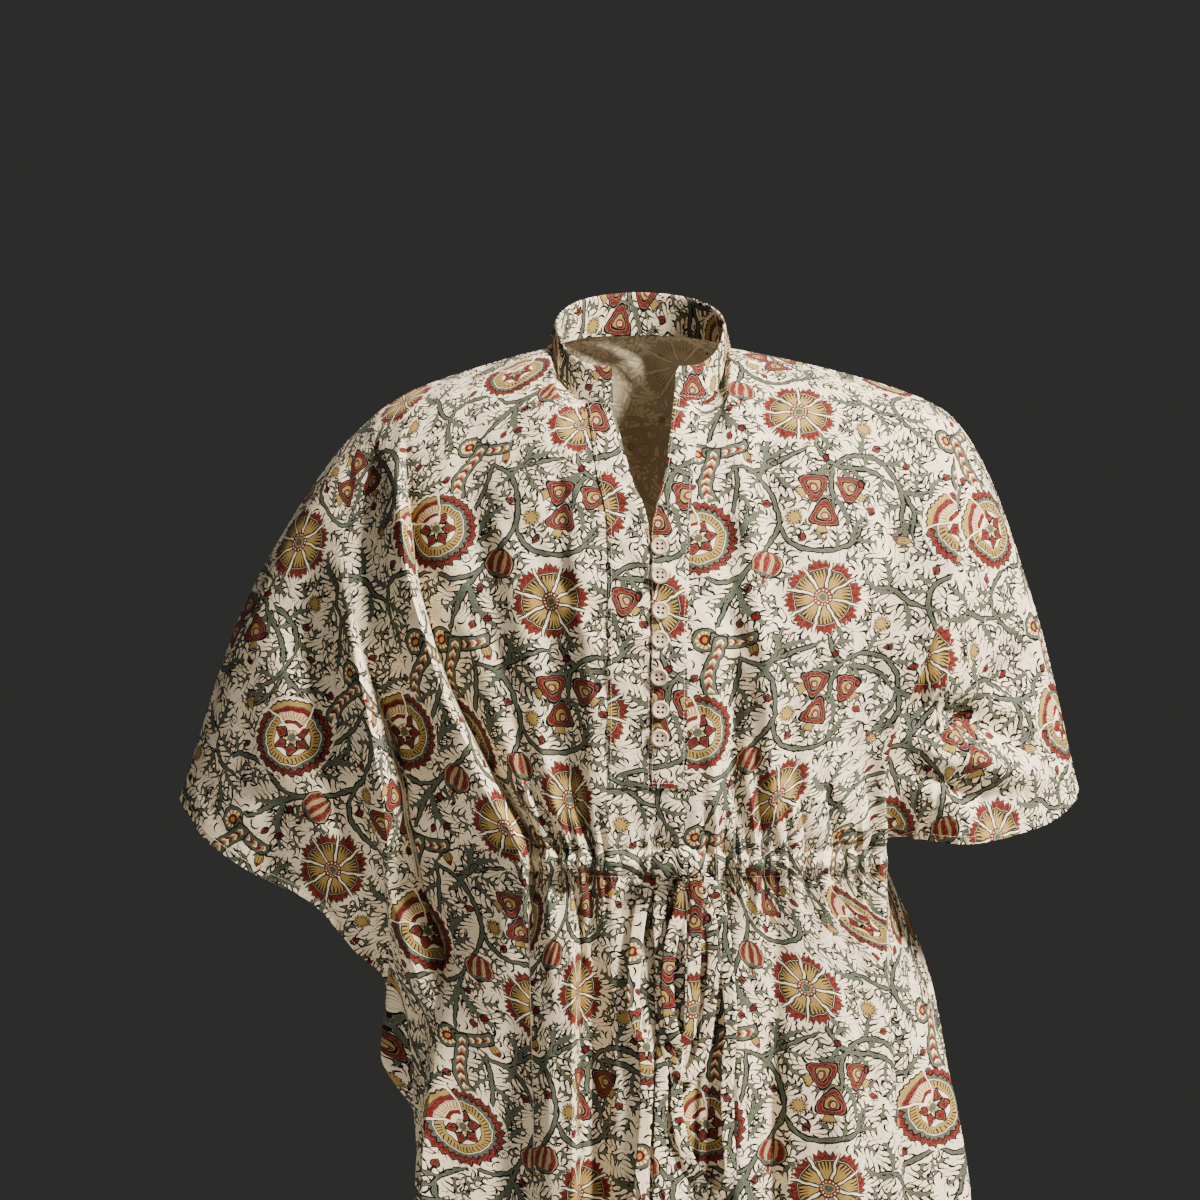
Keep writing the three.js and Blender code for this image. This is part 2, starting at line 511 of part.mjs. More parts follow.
function collarSolid() {
  const lines = PLAIN_LINES.filter((line) => line >= NECK_L && line <= SLIT_L);
  const frontEdge = (line) => frontPanel.rowAt(SHOULDER).at(line);
  const backLines = BACK_LINES.filter((line) => line >= NECK_L && line <= NECK_R);
  const rightLines = PLAIN_LINES.filter((line) => line >= SLIT_R && line <= NECK_R);
  const foot = [
    ...lines.reverse().map(frontEdge),
    ...backLines.map((line) => backPanel.rowAt(SHOULDER).at(line)),
    ...rightLines.reverse().map(frontEdge),
  ].filter((point, i, all) => i === 0 || point.distanceTo(all[i - 1]) > 1);
  const top = new THREE.CatmullRomCurve3(COLLAR_TOP.map((place) => new THREE.Vector3(...place)));
  const run = foot.map((_, i) => foot.slice(1, i + 1).reduce((sum, p, k) => sum + p.distanceTo(foot[k]), 0));
  const points = [];
  const normals = [];
  const grid = [0, 0.5, 1].map((height) => foot.map((place, i) => {
    const share = run[i] / run[run.length - 1];
    const up = top.getPointAt(share).sub(place);
    const next = foot[Math.min(i + 1, foot.length - 1)];
    const across = next.clone().sub(foot[Math.max(i - 1, 0)]).setZ(0);
    const clear = new THREE.Vector3(0, 0, COLLAR_GAP * (1 - height));
    points.push(place.clone().addScaledVector(up, height).add(clear));
    normals.push(up.clone().cross(across).normalize());
    return { place: share, index: points.length - 1 };
  }));
  const faces = [];
  zip(grid[0], grid[1], faces);
  zip(grid[1], grid[2], faces);
  return wall(points, normals, faces, COLLAR_CLOTH);
}

// A band sewn down along the slit: the front's own points between two fall lines, moved out.
const PLACKET_TOP = 0.08; // row at which the bands end, just under the neck seam
function placketSolid(left, right, height) {
  const points = [];
  const normals = [];
  const rows = FRONT_ROWS.filter((row) => row <= PLACKET_END).map((row) => Math.max(row, PLACKET_TOP));
  const lines = PLAIN_LINES.filter((line) => line >= left && line <= right);
  const grid = rows.map((row) => lines.map((line) => {
    const normal = outward(frontPoint, line, row, -1);
    points.push(frontPoint(line, row).addScaledVector(normal, SEAM + height));
    normals.push(normal);
    return { place: line, index: points.length - 1 };
  }));
  const faces = [];
  for (let i = 0; i < grid.length - 1; i++) zip(grid[i], grid[i + 1], faces);
  return wall(points, normals, faces, height);
}

// A round button with a rim, four holes and a dished face, seated on the upper band.
function buttonSolid() {
  const radius = BUTTON_DIAMETER / 2;
  const profile = [
    [0, 0], [radius - 0.8, 0], [radius, 1.2], [radius - 0.8, BUTTON_THICK],
    [radius - 2.4, BUTTON_THICK - 0.7], [0, BUTTON_THICK - 0.9],
  ].map(([x, y]) => new THREE.Vector2(x, y));
  return new THREE.LatheGeometry(profile, 16);
}

function solidOf(geometry) {
  const bare = geometry.index ? geometry.toNonIndexed() : geometry.clone();
  for (const name of Object.keys(bare.attributes)) if (name !== "position") bare.deleteAttribute(name);
  const merged = mergeVertices(bare, 1e-3);
  return new wasm.Manifold(new wasm.Mesh({
    numProp: 3,
    vertProperties: merged.attributes.position.array,
    triVerts: new Uint32Array(merged.index.array),
  }));
}

function geometryOf(solid) {
  const { vertProperties, triVerts } = solid.getMesh();
  const geometry = new THREE.BufferGeometry();
  geometry.setAttribute("position", new THREE.BufferAttribute(vertProperties, 3));
  geometry.setIndex(new THREE.BufferAttribute(triVerts, 1));
  return geometry;
}

const HOLE_RADIUS = 0.9;
const HOLE_PLACE = 1.5;
function drilledButton() {
  let button = solidOf(buttonSolid());
  for (const x of [-HOLE_PLACE, HOLE_PLACE]) {
    for (const z of [-HOLE_PLACE, HOLE_PLACE]) {
      const drill = new THREE.CylinderGeometry(HOLE_RADIUS, HOLE_RADIUS, 3 * BUTTON_THICK, 5);
      drill.translate(x, 0, z);
      button = button.subtract(solidOf(drill));
    }
  }
  return geometryOf(button);
}

// ---------- the drawstring ----------
// Each stretch is a flat tie: its points in X and Z, and how far it lies before the cloth.
const KNOT = { x: 27, z: -380, gap: 0.6, width: 40, height: 27, depth: 14 };
const TIES = [
  { name: "tie_loop_front", lift: 12.6, steps: 18, route: [
    [33, -394], [31, -411], [25, -431], [20.5, -460], [20.5, -479], [25, -509], [30, -515], [36, -509], [39, -493],
    [40, -460], [41, -430], [42, -407], [41, -391.8]] },
  { name: "tie_loop_middle", lift: 8, steps: 20, route: [
    [17, -392.2], [14.5, -424], [16.5, -460], [18, -497], [22, -525], [27, -536], [36, -540], [44, -531], [49, -512],
    [53, -478], [55.5, -450], [51, -420], [39, -391.5]] },
  { name: "tie_loop_long", lift: 3.6, steps: 24, route: [
    [43, -389.5], [55, -401], [61, -424], [65, -460], [67.5, -497], [66, -524], [65, -551], [66, -587], [67, -612],
    [60, -628], [52, -628], [43, -614], [35, -600], [29, -578], [27, -552], [28, -520], [29, -470], [30, -420],
    [30, -394]] },
  { name: "tie_end_left", lift: 3.6, steps: 9, route: [
    [9.5, -389], [1, -415], [-4, -455], [-4.5, -488], [1, -510], [4.5, -532], [4.5, -560], [2, -598], [-2, -640],
    [-4, -690], [-3, -735]] },
  { name: "tie_end_right", lift: 3.6, steps: 9, route: [
    [19.5, -393], [16.5, -430], [16, -480], [17, -520], [16, -545], [15, -578], [13.5, -636], [12, -680], [13, -716]] },
];

function tieSolid({ route, lift, steps }) {
  const places = route.map(([x, z]) => new THREE.Vector3(x, -clothOut(x, z, TIE_WIDTH / 2) - lift, z));
  const path = new THREE.CatmullRomCurve3(places);
  const forward = new THREE.Vector3(0, -1, 0);
  const sides = 8;
  const positions = [];
  const faces = [];
  for (let i = 0; i <= steps; i++) {
    const place = path.getPointAt(i / steps);
    const tangent = path.getTangentAt(i / steps);
    const across = tangent.clone().cross(forward).normalize();
    const proud = across.clone().cross(tangent).normalize();
    for (let j = 0; j < sides; j++) {
      const turn = ((j + 0.5) / sides) * 2 * Math.PI;
      const point = place.clone()
        .addScaledVector(across, (Math.cos(turn) * TIE_WIDTH) / 2 / Math.cos(Math.PI / sides))
        .addScaledVector(proud, (Math.sin(turn) * TIE_THICK) / 2 / Math.cos(Math.PI / sides));
      positions.push(...point.toArray());
      if (i === steps) continue;
      const [a, b] = [i * sides + j, i * sides + ((j + 1) % sides)];
      faces.push([a, b + sides, b], [a, a + sides, b + sides]);
    }
  }
  const last = steps * sides;
  for (let j = 1; j < sides - 1; j++) faces.push([0, j, j + 1], [last, last + j + 1, last + j]);
  const geometry = new THREE.BufferGeometry();
  geometry.setAttribute("position", new THREE.Float32BufferAttribute(positions, 3));
  geometry.setIndex(faces.flat());
  return geometry;
}

// ---------- the part ----------
const cloth = new THREE.Color(0xe6dcc8);
const fabric = () => new THREE.MeshStandardMaterial({ color: cloth, roughness: 0.9, metalness: 0 });
const wood = () => new THREE.MeshStandardMaterial({ color: 0xd9c4a0, roughness: 0.5, metalness: 0 });
const part = new THREE.Group();

function add(name, geometry, material = fabric()) {
  const mesh = new THREE.Mesh(geometry, material);
  mesh.name = name;
  part.add(mesh);
  return mesh;
}

add("front", frontSolid());
add("back", backSolid());
add("collar", collarSolid());
add("placket_under", placketSolid(BAND_L, SLIT_L, PLACKET_UNDER));
add("placket_over", placketSolid(SLIT_R, BAND_R, PLACKET_OVER));
BUTTON_Z.forEach((z, i) => {
  const { line, row } = placeOn(BUTTON_X, z);
  const normal = outward(frontPoint, line, row, -1);
  const button = add(`button_${i + 1}`, drilledButton(), wood());
  button.quaternion.setFromUnitVectors(new THREE.Vector3(0, 1, 0), normal);
  button.position.copy(frontPoint(line, row)).addScaledVector(normal, SEAM + PLACKET_OVER + BUTTON_GAP);
});
for (const tie of TIES) add(tie.name, tieSolid(tie));
const knot = add("tie_knot", new THREE.SphereGeometry(0.5, 14, 10));
knot.scale.set(KNOT.width, KNOT.depth, KNOT.height);
knot.position.set(KNOT.x, -clothOut(KNOT.x, KNOT.z, KNOT.width / 4) - KNOT.depth / 2 - KNOT.gap, KNOT.z);

export default part;
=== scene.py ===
"""A kaftan of block-printed cotton, in the hollow form that it has when worn.

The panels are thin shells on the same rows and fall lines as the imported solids, with finer folds.
The print is drawn by node groups, one for each motif of the block, in flat-cloth millimetres.
Lengths are in millimetres until a mesh is made.
"""
import math

import bpy
import numpy as np
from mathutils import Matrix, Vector


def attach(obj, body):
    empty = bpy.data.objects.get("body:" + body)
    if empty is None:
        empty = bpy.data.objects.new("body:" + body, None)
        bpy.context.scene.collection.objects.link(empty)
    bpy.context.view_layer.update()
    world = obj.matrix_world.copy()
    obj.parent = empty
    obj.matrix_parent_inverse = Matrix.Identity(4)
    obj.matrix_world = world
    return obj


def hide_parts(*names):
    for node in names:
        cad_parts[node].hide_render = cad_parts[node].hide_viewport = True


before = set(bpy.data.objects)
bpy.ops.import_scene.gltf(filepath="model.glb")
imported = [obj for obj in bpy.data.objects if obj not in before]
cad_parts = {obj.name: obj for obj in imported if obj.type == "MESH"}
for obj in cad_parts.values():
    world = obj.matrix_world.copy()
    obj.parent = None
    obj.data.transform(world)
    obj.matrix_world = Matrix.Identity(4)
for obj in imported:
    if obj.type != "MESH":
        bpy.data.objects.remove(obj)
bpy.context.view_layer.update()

MM = 0.001
BODY = "root"

# ---------- sizes ----------
CLOTH = 0.7  # thickness of the cotton
SEAM = 0.3
HEM_WIDTH = 7.0  # turned and stitched hems of the sleeves and the skirt
HEM_RISE = 0.35
PLACKET_UNDER = 1.2
PLACKET_OVER = 2.2
COLLAR_CLOTH = 2.2
BUTTON_GAP = 0.4
BUTTON_X = 14.5
BUTTON_Z = [-145.5, -167, -193, -214, -241, -266, -287]
TIE_WIDTH = 10.0
TIE_THICK = 2.2
REPEAT = np.array([201.0, 153.0])  # width and height of the print's repeat

# ---------- the cloth as rows and fall lines ----------
# A fall line runs down the cloth from the shoulder or neck seam to the hem, and a row runs across it.
(EDGE_L, SLEEVE_L, FOLD_L, PLEAT_L, NECK_L, THROAT_L, BAND_L, SLIT_L,
 SLIT_R, BAND_R, THROAT_R, NECK_R, FOLD_R, SLEEVE_R, EDGE_R) = range(15)
(SHOULDER, CAP, THROAT, SLIT_END, BUST, PLACKET_END, CASING, HIP, THIGH, KNEE, HEM) = range(11)

ACROSS = np.array([
    [-356, -304, -221, -178, -71, -61, -41, -20, 26, 47, 63, 71, 236, 304, 341],
    [-351, -300, -221, -178, -70, -60, -38, -17, 24, 45, 62, 72, 237, 301, 338],
    [-336, -286, -225, -181, -68, -55, -33, -8, 19, 40, 57, 76, 241, 285, 321],
    [-300, -268, -221, -176, -66, -51, -24, 7, 8.5, 37, 57, 81, 239, 259, 292],
    [-251, -238, -208, -151, -58, -43, -24, 7, 8.5, 35, 61, 90, 214, 229, 246],
    [-221, -210, -190, -115, -50, -38, -24, 7, 8.5, 35, 64, 96, 179, 199, 204],
    [-197, -189, -182, -84, -35, -27, -19, 7, 8.5, 37, 67, 101, 178, 184, 188],
    [-202, -188, -158, -83, -38, -28, -18, 7, 8.5, 37, 69, 101, 191, 214, 229],
    [-161, -170, -162, -83, -38, -28, -18, 7, 8.5, 37, 69, 102, 206, 240, 251],
    [-181, -178, -159, -90, -39, -28, -18, 7, 8.5, 39, 71, 109, 214, 259, 272],
    [-198, -193, -169, -99, -45, -31, -19, 7, 8.5, 40, 75, 116, 229, 277, 292]], float)
HEIGHT = np.array([
    [-347, -194, -65, -32, 2, -23, -38, -39, -36, -38, -24, 2, -46, -190, -339],
    [-353, -202, -75, -42, -10, -34, -51, -54, -51, -51, -35, -10, -56, -197, -345],
    [-373, -231, -122, -87, -66, -75, -87, -88, -88, -88, -77, -67, -100, -227, -358],
    [-397, -270, -178, -151, -138, -138, -138, -139, -139, -138, -138, -138, -141, -270, -366],
    [-421, -331, -253, -246, -231, -231, -231, -231, -231, -231, -231, -231, -227, -310, -372],
    [-460, -396, -332, -321, -325, -325, -325, -325, -325, -325, -325, -325, -322, -352, -370],
    [-496, -452, -403, -380, -382, -382, -382, -382, -382, -382, -382, -382, -384, -386, -387],
    [-550, -531, -508, -486, -486, -486, -486, -486, -486, -486, -486, -486, -486, -489, -492],
    [-640, -638, -636, -636, -636, -636, -636, -636, -636, -636, -636, -636, -636, -636, -636],
    [-906] * 15,
    [-1220] * 15], float)
FRONT_OUT = np.array([
    [0, 0, 0, 0, 0, 34, 56, 64, 64, 56, 34, 0, 0, 0, 0],
    [12, 18, 22, 28, 36, 58, 74, 78, 78, 74, 58, 36, 26, 20, 14],
    [28, 40, 45, 62, 88, 92, 96, 98, 98, 96, 92, 88, 50, 42, 35],
    [44, 58, 68, 84, 108, 110, 112, 113, 113, 112, 110, 108, 72, 66, 62],
    [50, 68, 84, 98, 122, 124, 126, 127, 127, 126, 124, 122, 94, 94, 86],
    [25, 50, 82, 102, 118, 120, 121, 122, 122, 121, 120, 118, 98, 78, 54],
    [-15, 20, 64, 92, 108, 109, 110, 110, 110, 110, 109, 108, 92, 36, -10],
    [-25, 2, 66, 112, 124, 125, 126, 126, 126, 126, 125, 124, 98, 42, -10],
    [-20, 25, 84, 130, 140, 141, 142, 142, 142, 142, 141, 140, 114, 58, 0],
    [-5, 45, 100, 145, 152, 153, 154, 154, 154, 154, 153, 152, 132, 72, 0],
    [0, 58, 112, 158, 166, 167, 168, 168, 168, 168, 167, 166, 150, 84, 0]], float)
BACK_OUT = np.array([
    [0, 0, 0, 0, 0, 30, 50, 57, 57, 50, 30, 0, 0, 0, 0],
    [12, 18, 24, 30, 36, 56, 64, 66, 66, 64, 56, 36, 28, 20, 14],
    [28, 42, 56, 72, 84, 88, 90, 90, 90, 90, 88, 84, 64, 46, 34],
    [42, 60, 76, 92, 100, 102, 103, 103, 103, 103, 102, 100, 84, 64, 48],
    [46, 66, 84, 98, 104, 105, 105, 105, 105, 105, 105, 104, 90, 70, 50],
    [34, 56, 80, 96, 102, 102, 102, 102, 102, 102, 102, 102, 92, 64, 34],
    [15, 44, 78, 94, 100, 100, 100, 100, 100, 100, 100, 100, 88, 52, 10],
    [25, 50, 84, 100, 106, 106, 106, 106, 106, 106, 106, 106, 96, 60, 10],
    [20, 58, 96, 112, 118, 118, 118, 118, 118, 118, 118, 118, 108, 70, 0],
    [5, 64, 110, 130, 134, 134, 134, 134, 134, 134, 134, 134, 124, 80, 0],
    [0, 74, 124, 146, 150, 150, 150, 150, 150, 150, 150, 150, 140, 92, 0]], float)
# The back has no slit and a higher neck: row, then X and Z of its six neck lines.
BACK_NECK = [
    (SHOULDER, [-58, -35, -9, 9, 35, 58], [7, 11, 12, 12, 11, 7]),
    (CAP, [-56, -34, -9, 10, 35, 57], [-4, -2, -1, -1, -2, -4]),
    (THROAT, [-52, -30, -6, 12, 36, 58], [-66] * 6),
    (SLIT_END, [-48, -27, -5, 16, 38, 60], [-138] * 6)]
BACK_HEM_RISE = [0, 3, 7, 9, 9, 5, 0, 0, 0, 0, 0]  # of the sleeve hems, at each row

# ---------- folds ----------
# A pleat is a step along a fall line: line and row where it starts and ends, heights on its left and right,
# how far these spread, lean, and the rows over which it starts and ends.
PLEATS = [
    dict(line1=3, row1=1.3, line2=3, row2=6.5, rise=12, drop=15, soft1=26, soft2=24, lean=6, fade1=1.6,
         fade2=0.3),
    dict(line1=2, row1=3.1, line2=2, row2=7.0, rise=16, drop=26, soft1=46, soft2=30, lean=7, fade1=1.6,
         fade2=0.5),
    dict(line1=3.62, row1=6.15, line2=3.62, row2=10, rise=12, drop=14, soft1=22, soft2=16, lean=5, fade1=0.5,
         fade2=0.1),
    dict(line1=12, row1=1.9, line2=12, row2=6.0, rise=8, drop=14, soft1=20, soft2=16, lean=4, fade1=1.5,
         fade2=0.5)]
# A soft fold: line and row where it starts, line and row where it ends, width, depth (under 0 a trough).
FRONT_FOLDS = [
    (1.3, 1.5, 1.5, 5.2, 30, -9), (0.6, 2.2, 0.8, 6.2, 22, 6), (2.5, 0.8, 2.4, 6.0, 16, -7),
    (3.4, 1.2, 3.55, 5.9, 15, -5), (3.8, 2.6, 3.85, 6.0, 12, -5), (10.4, 3.4, 10.2, 6.0, 8, -5),
    (11.3, 0.6, 11.1, 4.2, 12, -5), (11.7, 1.4, 11.6, 5.6, 14, -6), (13.2, 0.9, 13.0, 3.8, 18, -7),
    (0.9, 6.1, 0.9, 9.2, 20, -8), (2.2, 6.6, 2.1, 10, 14, 9), (2.8, 6.8, 2.7, 10, 18, -9),
    (4.6, 6.4, 4.5, 10, 12, -8), (7.5, 7.0, 7.5, 10, 18, 8), (9.4, 6.4, 9.2, 10, 14, -10),
    (11.0, 6.4, 11.0, 10, 14, -10), (11.5, 6.4, 11.5, 10, 15, 9), (12.2, 6.3, 12.1, 10, 15, -10),
    (13.0, 6.6, 13.0, 10, 16, 9)]
BACK_FOLDS = [
    (1.2, 1.4, 1.5, 5.4, 28, -9), (2.4, 1.2, 2.6, 10, 24, -13), (3.5, 2.4, 3.4, 10, 22, 11),
    (4.3, 4.0, 4.6, 10, 20, -12), (6.5, 4.4, 6.6, 10, 22, 11), (8.6, 3.6, 8.7, 10, 20, -12),
    (10.2, 4.2, 10.4, 10, 22, 10), (11.4, 2.2, 11.5, 10, 22, -13), (12.2, 3.4, 12.3, 10, 24, 10),
    (13.0, 1.2, 12.9, 5.6, 26, -9)]
# Creases finer than the solids': the same columns.
FRONT_CREASES = [
    (0.5, 3.2, 0.9, 5.8, 7, -1.6), (1.0, 1.2, 1.1, 3.6, 9, 1.5), (1.7, 2.2, 1.8, 5.0, 8, -2.0),
    (2.3, 3.4, 2.2, 5.9, 7, 2.2), (2.7, 4.0, 2.7, 6.0, 6, -1.8), (3.2, 3.0, 3.3, 5.7, 6, -1.6),
    (3.6, 4.2, 3.7, 5.95, 6, 2.0), (4.6, 3.6, 4.6, 5.9, 6, -1.4), (5.4, 4.4, 5.3, 5.9, 6, 1.4),
    (9.7, 3.2, 9.7, 5.9, 6, 1.6), (10.8, 3.4, 10.8, 5.9, 6, -1.8), (11.35, 3.6, 11.3, 5.9, 7, 1.9),
    (11.8, 2.2, 11.8, 5.9, 7, -2.0), (12.5, 1.0, 12.4, 4.0, 9, 1.6), (13.4, 1.6, 13.3, 4.6, 8, -1.6),
    (12.7, 2.0, 12.9, 4.4, 8, -1.8), (1.9, 0.4, 2.1, 2.4, 9, -1.4), (12.0, 0.3, 12.1, 1.9, 9, -1.6),
    (3.3, 6.2, 3.3, 8.4, 8, 2.2), (4.1, 6.1, 4.0, 8.0, 7, -2.4), (5.6, 6.2, 5.4, 9.0, 8, 2.0),
    (6.4, 6.1, 6.3, 8.4, 7, -2.2), (8.8, 6.1, 8.8, 8.2, 7, -2.0), (10.2, 6.2, 10.1, 8.8, 8, 2.4),
    (11.25, 6.2, 11.2, 8.6, 7, -2.2), (11.8, 6.2, 11.8, 9.2, 8, 2.4), (12.6, 6.5, 12.6, 9.4, 9, -2.2),
    (1.6, 6.6, 1.6, 9.4, 9, 2.2), (13.5, 6.8, 13.5, 9.6, 9, -2.0), (8.35, 6.15, 8.35, 9.8, 10, -6.0),
    (6.9, 6.2, 6.9, 9.6, 9, 3.0), (9.65, 6.15, 9.6, 9.4, 7, -4.5), (4.9, 6.1, 5.2, 9.0, 8, -3.5),
    (3.05, 6.6, 3.0, 9.8, 10, -4.0), (11.05, 6.2, 10.9, 9.4, 9, -4.0), (12.35, 6.3, 12.3, 9.6, 10, -4.0),
    (5.0, 2.2, 5.1, 5.2, 9, 2.0), (4.3, 1.2, 4.4, 5.6, 9, -3.0), (10.5, 1.6, 10.4, 5.4, 9, -2.6),
    (11.0, 1.8, 11.1, 5.6, 9, 2.6)]
BACK_CREASES = [
    (0.8, 2.0, 1.0, 5.4, 9, 1.6), (1.8, 1.4, 1.9, 5.8, 9, -1.8), (3.0, 1.2, 3.1, 7.4, 9, 2.0),
    (4.0, 3.0, 4.1, 8.4, 8, -1.8), (5.4, 2.6, 5.4, 8.8, 9, 1.8), (7.4, 3.2, 7.5, 9.2, 9, -1.8),
    (9.4, 2.8, 9.5, 8.8, 9, 1.8), (10.9, 2.4, 11.0, 8.2, 8, -1.9), (11.8, 1.2, 11.9, 7.2, 9, 2.0),
    (12.7, 1.8, 12.6, 5.8, 9, -1.8), (13.4, 2.2, 13.2, 5.0, 9, 1.6)]
# Folds that cross the fall lines: X and Z of both ends, bow to the side, width, depth.
CROSS_FOLDS = [
    (196, -268, 262, -338, -6, 10, -13), (214, -300, 300, -332, 4, 13, 7),
    (-300, -352, -232, -300, 4, 16, -6)]
CROSS_CREASES = [
    (200, -262, 300, -304, -8, 10, -12.0), (202, -284, 326, -330, 6, 12, 10.0),
    (198, -308, 280, -352, -4, 10, -11.0), (222, -330, 318, -352, 3, 6, 2.6), (250, -232, 330, -262, 5, 9, -2.6),
    (-322, -366, -262, -334, 5, 9, 1.8), (-268, -330, -214, -262, -4, 8, -1.8), (150, -214, 205, -262, 6, 8, -1.8),
    (-170, -262, -120, -318, -5, 7, -1.6)]
# Groups of gathers at the tuck: from and to across, how many, depth, reach up and down.
GATHERS = [(-97, -30, 8, 4.6, 62, 70), (-18, 38, 5, 1.6, 30, 40), (47, 176, 13, 4.2, 56, 64)]
SMALL_GATHERS = 0.30  # share of a gather's depth in the ones between
FINE_GATHERS = 2.1  # how much deeper the cloth's gathers are than the solids'
FINE_FOLDS = 1.6  # and its soft folds
CREVICE = 0.015  # a pleat's crevice lies this share of a line to the right of its fall line
TUCK_FROM, TUCK_TO, TUCK_SWELL, TUCK_HALF, TUCK_GROOVE = -98, 180, 3.2, 5.5, 1.6


# ---------- small functions ----------
def smooth(t):
    c = np.clip(t, 0, 1)
    return c * c * (3 - 2 * c)


def mix(a, b, t):
    return a + (b - a) * t


def unit(v):
    return v / np.maximum(np.linalg.norm(v, axis=-1, keepdims=True), 1e-9)


def slopes(values):
    """Slopes of a monotone cubic through values at whole numbers along the last axis."""
    steps = np.diff(values, axis=-1)
    before = np.concatenate([steps[..., :1], steps], -1)
    after = np.concatenate([steps, steps[..., -1:]], -1)
    rising = before * after > 0
    total = np.where(rising, before + after, 1)
    return np.where(rising, 2 * before * after / total, 0)


def cubic(values, rates, place):
    i = np.clip(np.floor(place).astype(int), 0, values.shape[-1] - 2)
    t = place - i
    at = lambda table, k: np.take_along_axis(table, k, -1)
    return ((2 * t**3 - 3 * t**2 + 1) * at(values, i) + (t**3 - 2 * t**2 + t) * at(rates, i)
            + (3 * t**2 - 2 * t**3) * at(values, i + 1) + (t**3 - t**2) * at(rates, i + 1))


class Panel:
    """A panel's smooth form: facing is -1 for the front and 1 for the back."""

    def __init__(self, across, height, out, facing):
        self.tables = [(t.T, slopes(t.T)) for t in (across, height, out)]
        self.facing = facing

    def frame(self, rows):
        """Values and slopes along the rows, at each fall line."""
        rows = np.clip(np.asarray(rows, float), SHOULDER, HEM)
        made = []
        for values, rates in self.tables:
            place = np.broadcast_to(rows, (values.shape[0], len(rows)))
            row = cubic(values, rates, place).T
            made.append((row, slopes(row)))
        return made

    def at(self, made, lines):
        lines = np.clip(np.broadcast_to(lines, (made[0][0].shape[0], np.shape(lines)[-1])), EDGE_L, EDGE_R)
        x, z, y = (cubic(values, rates, lines) for values, rates in made)
        return np.stack([x, self.facing * (y + SEAM / 2), z], -1)

    def points(self, rows, lines):
        return self.at(self.frame(rows), lines)

    def normals(self, rows, lines):
        step = 0.01
        lines = np.broadcast_to(lines, (len(rows), np.shape(lines)[-1]))
        made = self.frame(rows)
        across = self.at(made, lines + step) - self.at(made, lines - step)
        down = self.at(self.frame(rows + step), lines) - self.at(self.frame(rows - step), lines)
        return unit(np.cross(across, down) * self.facing)

    def along(self, rows):
        """Lengths along each row, at tenths of a line."""
        fine = np.linspace(EDGE_L, EDGE_R, 10 * EDGE_R + 1)
        steps = np.linalg.norm(np.diff(self.points(rows, fine), axis=1), axis=-1)
        return np.concatenate([np.zeros((len(rows), 1)), np.cumsum(steps, 1)], 1)


def length_at(lengths, lines):
    """Length along the rows at fall lines, which are one for all rows or one list for each."""
    lines = np.clip(np.broadcast_to(lines, (lengths.shape[0], np.shape(lines)[-1])), EDGE_L, EDGE_R)
    i = np.minimum(np.floor(lines * 10).astype(int), lengths.shape[1] - 2)
    low, high = np.take_along_axis(lengths, i, 1), np.take_along_axis(lengths, i + 1, 1)
    return mix(low, high, lines * 10 - i)


back_across, back_height = ACROSS.copy(), HEIGHT.copy()
back_height[:, EDGE_L] += BACK_HEM_RISE
back_height[:, EDGE_R] += BACK_HEM_RISE
for row, xs, zs in BACK_NECK:
    back_across[row, THROAT_L:NECK_R] = xs
    back_height[row, THROAT_L:NECK_R] = zs
FRONT = Panel(ACROSS, HEIGHT, FRONT_OUT, -1)
BACK = Panel(back_across, back_height, BACK_OUT, 1)
# The side seams: below the underarm the back's edges lie on the front's.
for line in (EDGE_L, EDGE_R):
    for table, source in zip(BACK.tables[2], FRONT.tables[2]):
        table[line, CASING:] = -source[line, CASING:]


def there_and_away(lengths, rows, lines, fold, fade1, fade2):
    """How much of a fold there is at each row, and the distance of each place from its fall line."""
    line1, row1, line2, row2 = fold
    share = np.clip((rows - row1) / (row2 - row1), 0, 1)
    there = smooth((rows - row1) / fade1) * (1 if row2 >= HEM else smooth((row2 - rows) / fade2))
    away = length_at(lengths, lines) - length_at(lengths, mix(line1, line2, share)[:, None])
    return there[:, None], away


def soft_folds(lengths, rows, lines, folds):
    total = 0
    for *ends, width, depth in folds:
        fade = 0.4 * (ends[3] - ends[1])
        there, away = there_and_away(lengths, rows, lines, ends, fade, fade)
        total = total + there * depth * np.exp(-((away / width) ** 2))
    return total


def pleats(lengths, rows, lines):
    """Height of the pleats, and how far they lean across."""
    up = lean = 0
    for fold in PLEATS:
        ends = [fold[k] for k in ("line1", "row1", "line2", "row2")]
        there, away = there_and_away(lengths, rows, lines, ends, fold["fade1"], fold["fade2"])
        right = smooth((away + 3) / 6)
        left = (1 - right) * np.exp(np.minimum(away, 0) / fold["soft1"])
        fall = fold["drop"] * right * np.exp(-np.maximum(away, 0) / fold["soft2"])
        up = up + there * (fold["rise"] * left - fall)
        lean = lean + there * fold["lean"] * (1 - right) * np.exp(np.minimum(away, 0) / 9)
    return up, lean


def cross_folds(points, folds):
    total = 0
    x, z = points[..., 0], points[..., 2]
    for x1, z1, x2, z2, bow, width, depth in folds:
        dx, dz = x2 - x1, z2 - z1
        length = math.hypot(dx, dz)
        share = ((x - x1) * dx + (z - z1) * dz) / length**2
        side = ((x - x1) * dz - (z - z1) * dx) / length - bow * 4 * share * (1 - share)
        wave = np.where((share > 0) & (share < 1), np.sin(np.pi * np.clip(share, 0, 1)), 0)
        total = total + depth * wave * np.exp(-((side / width) ** 2))
    return total


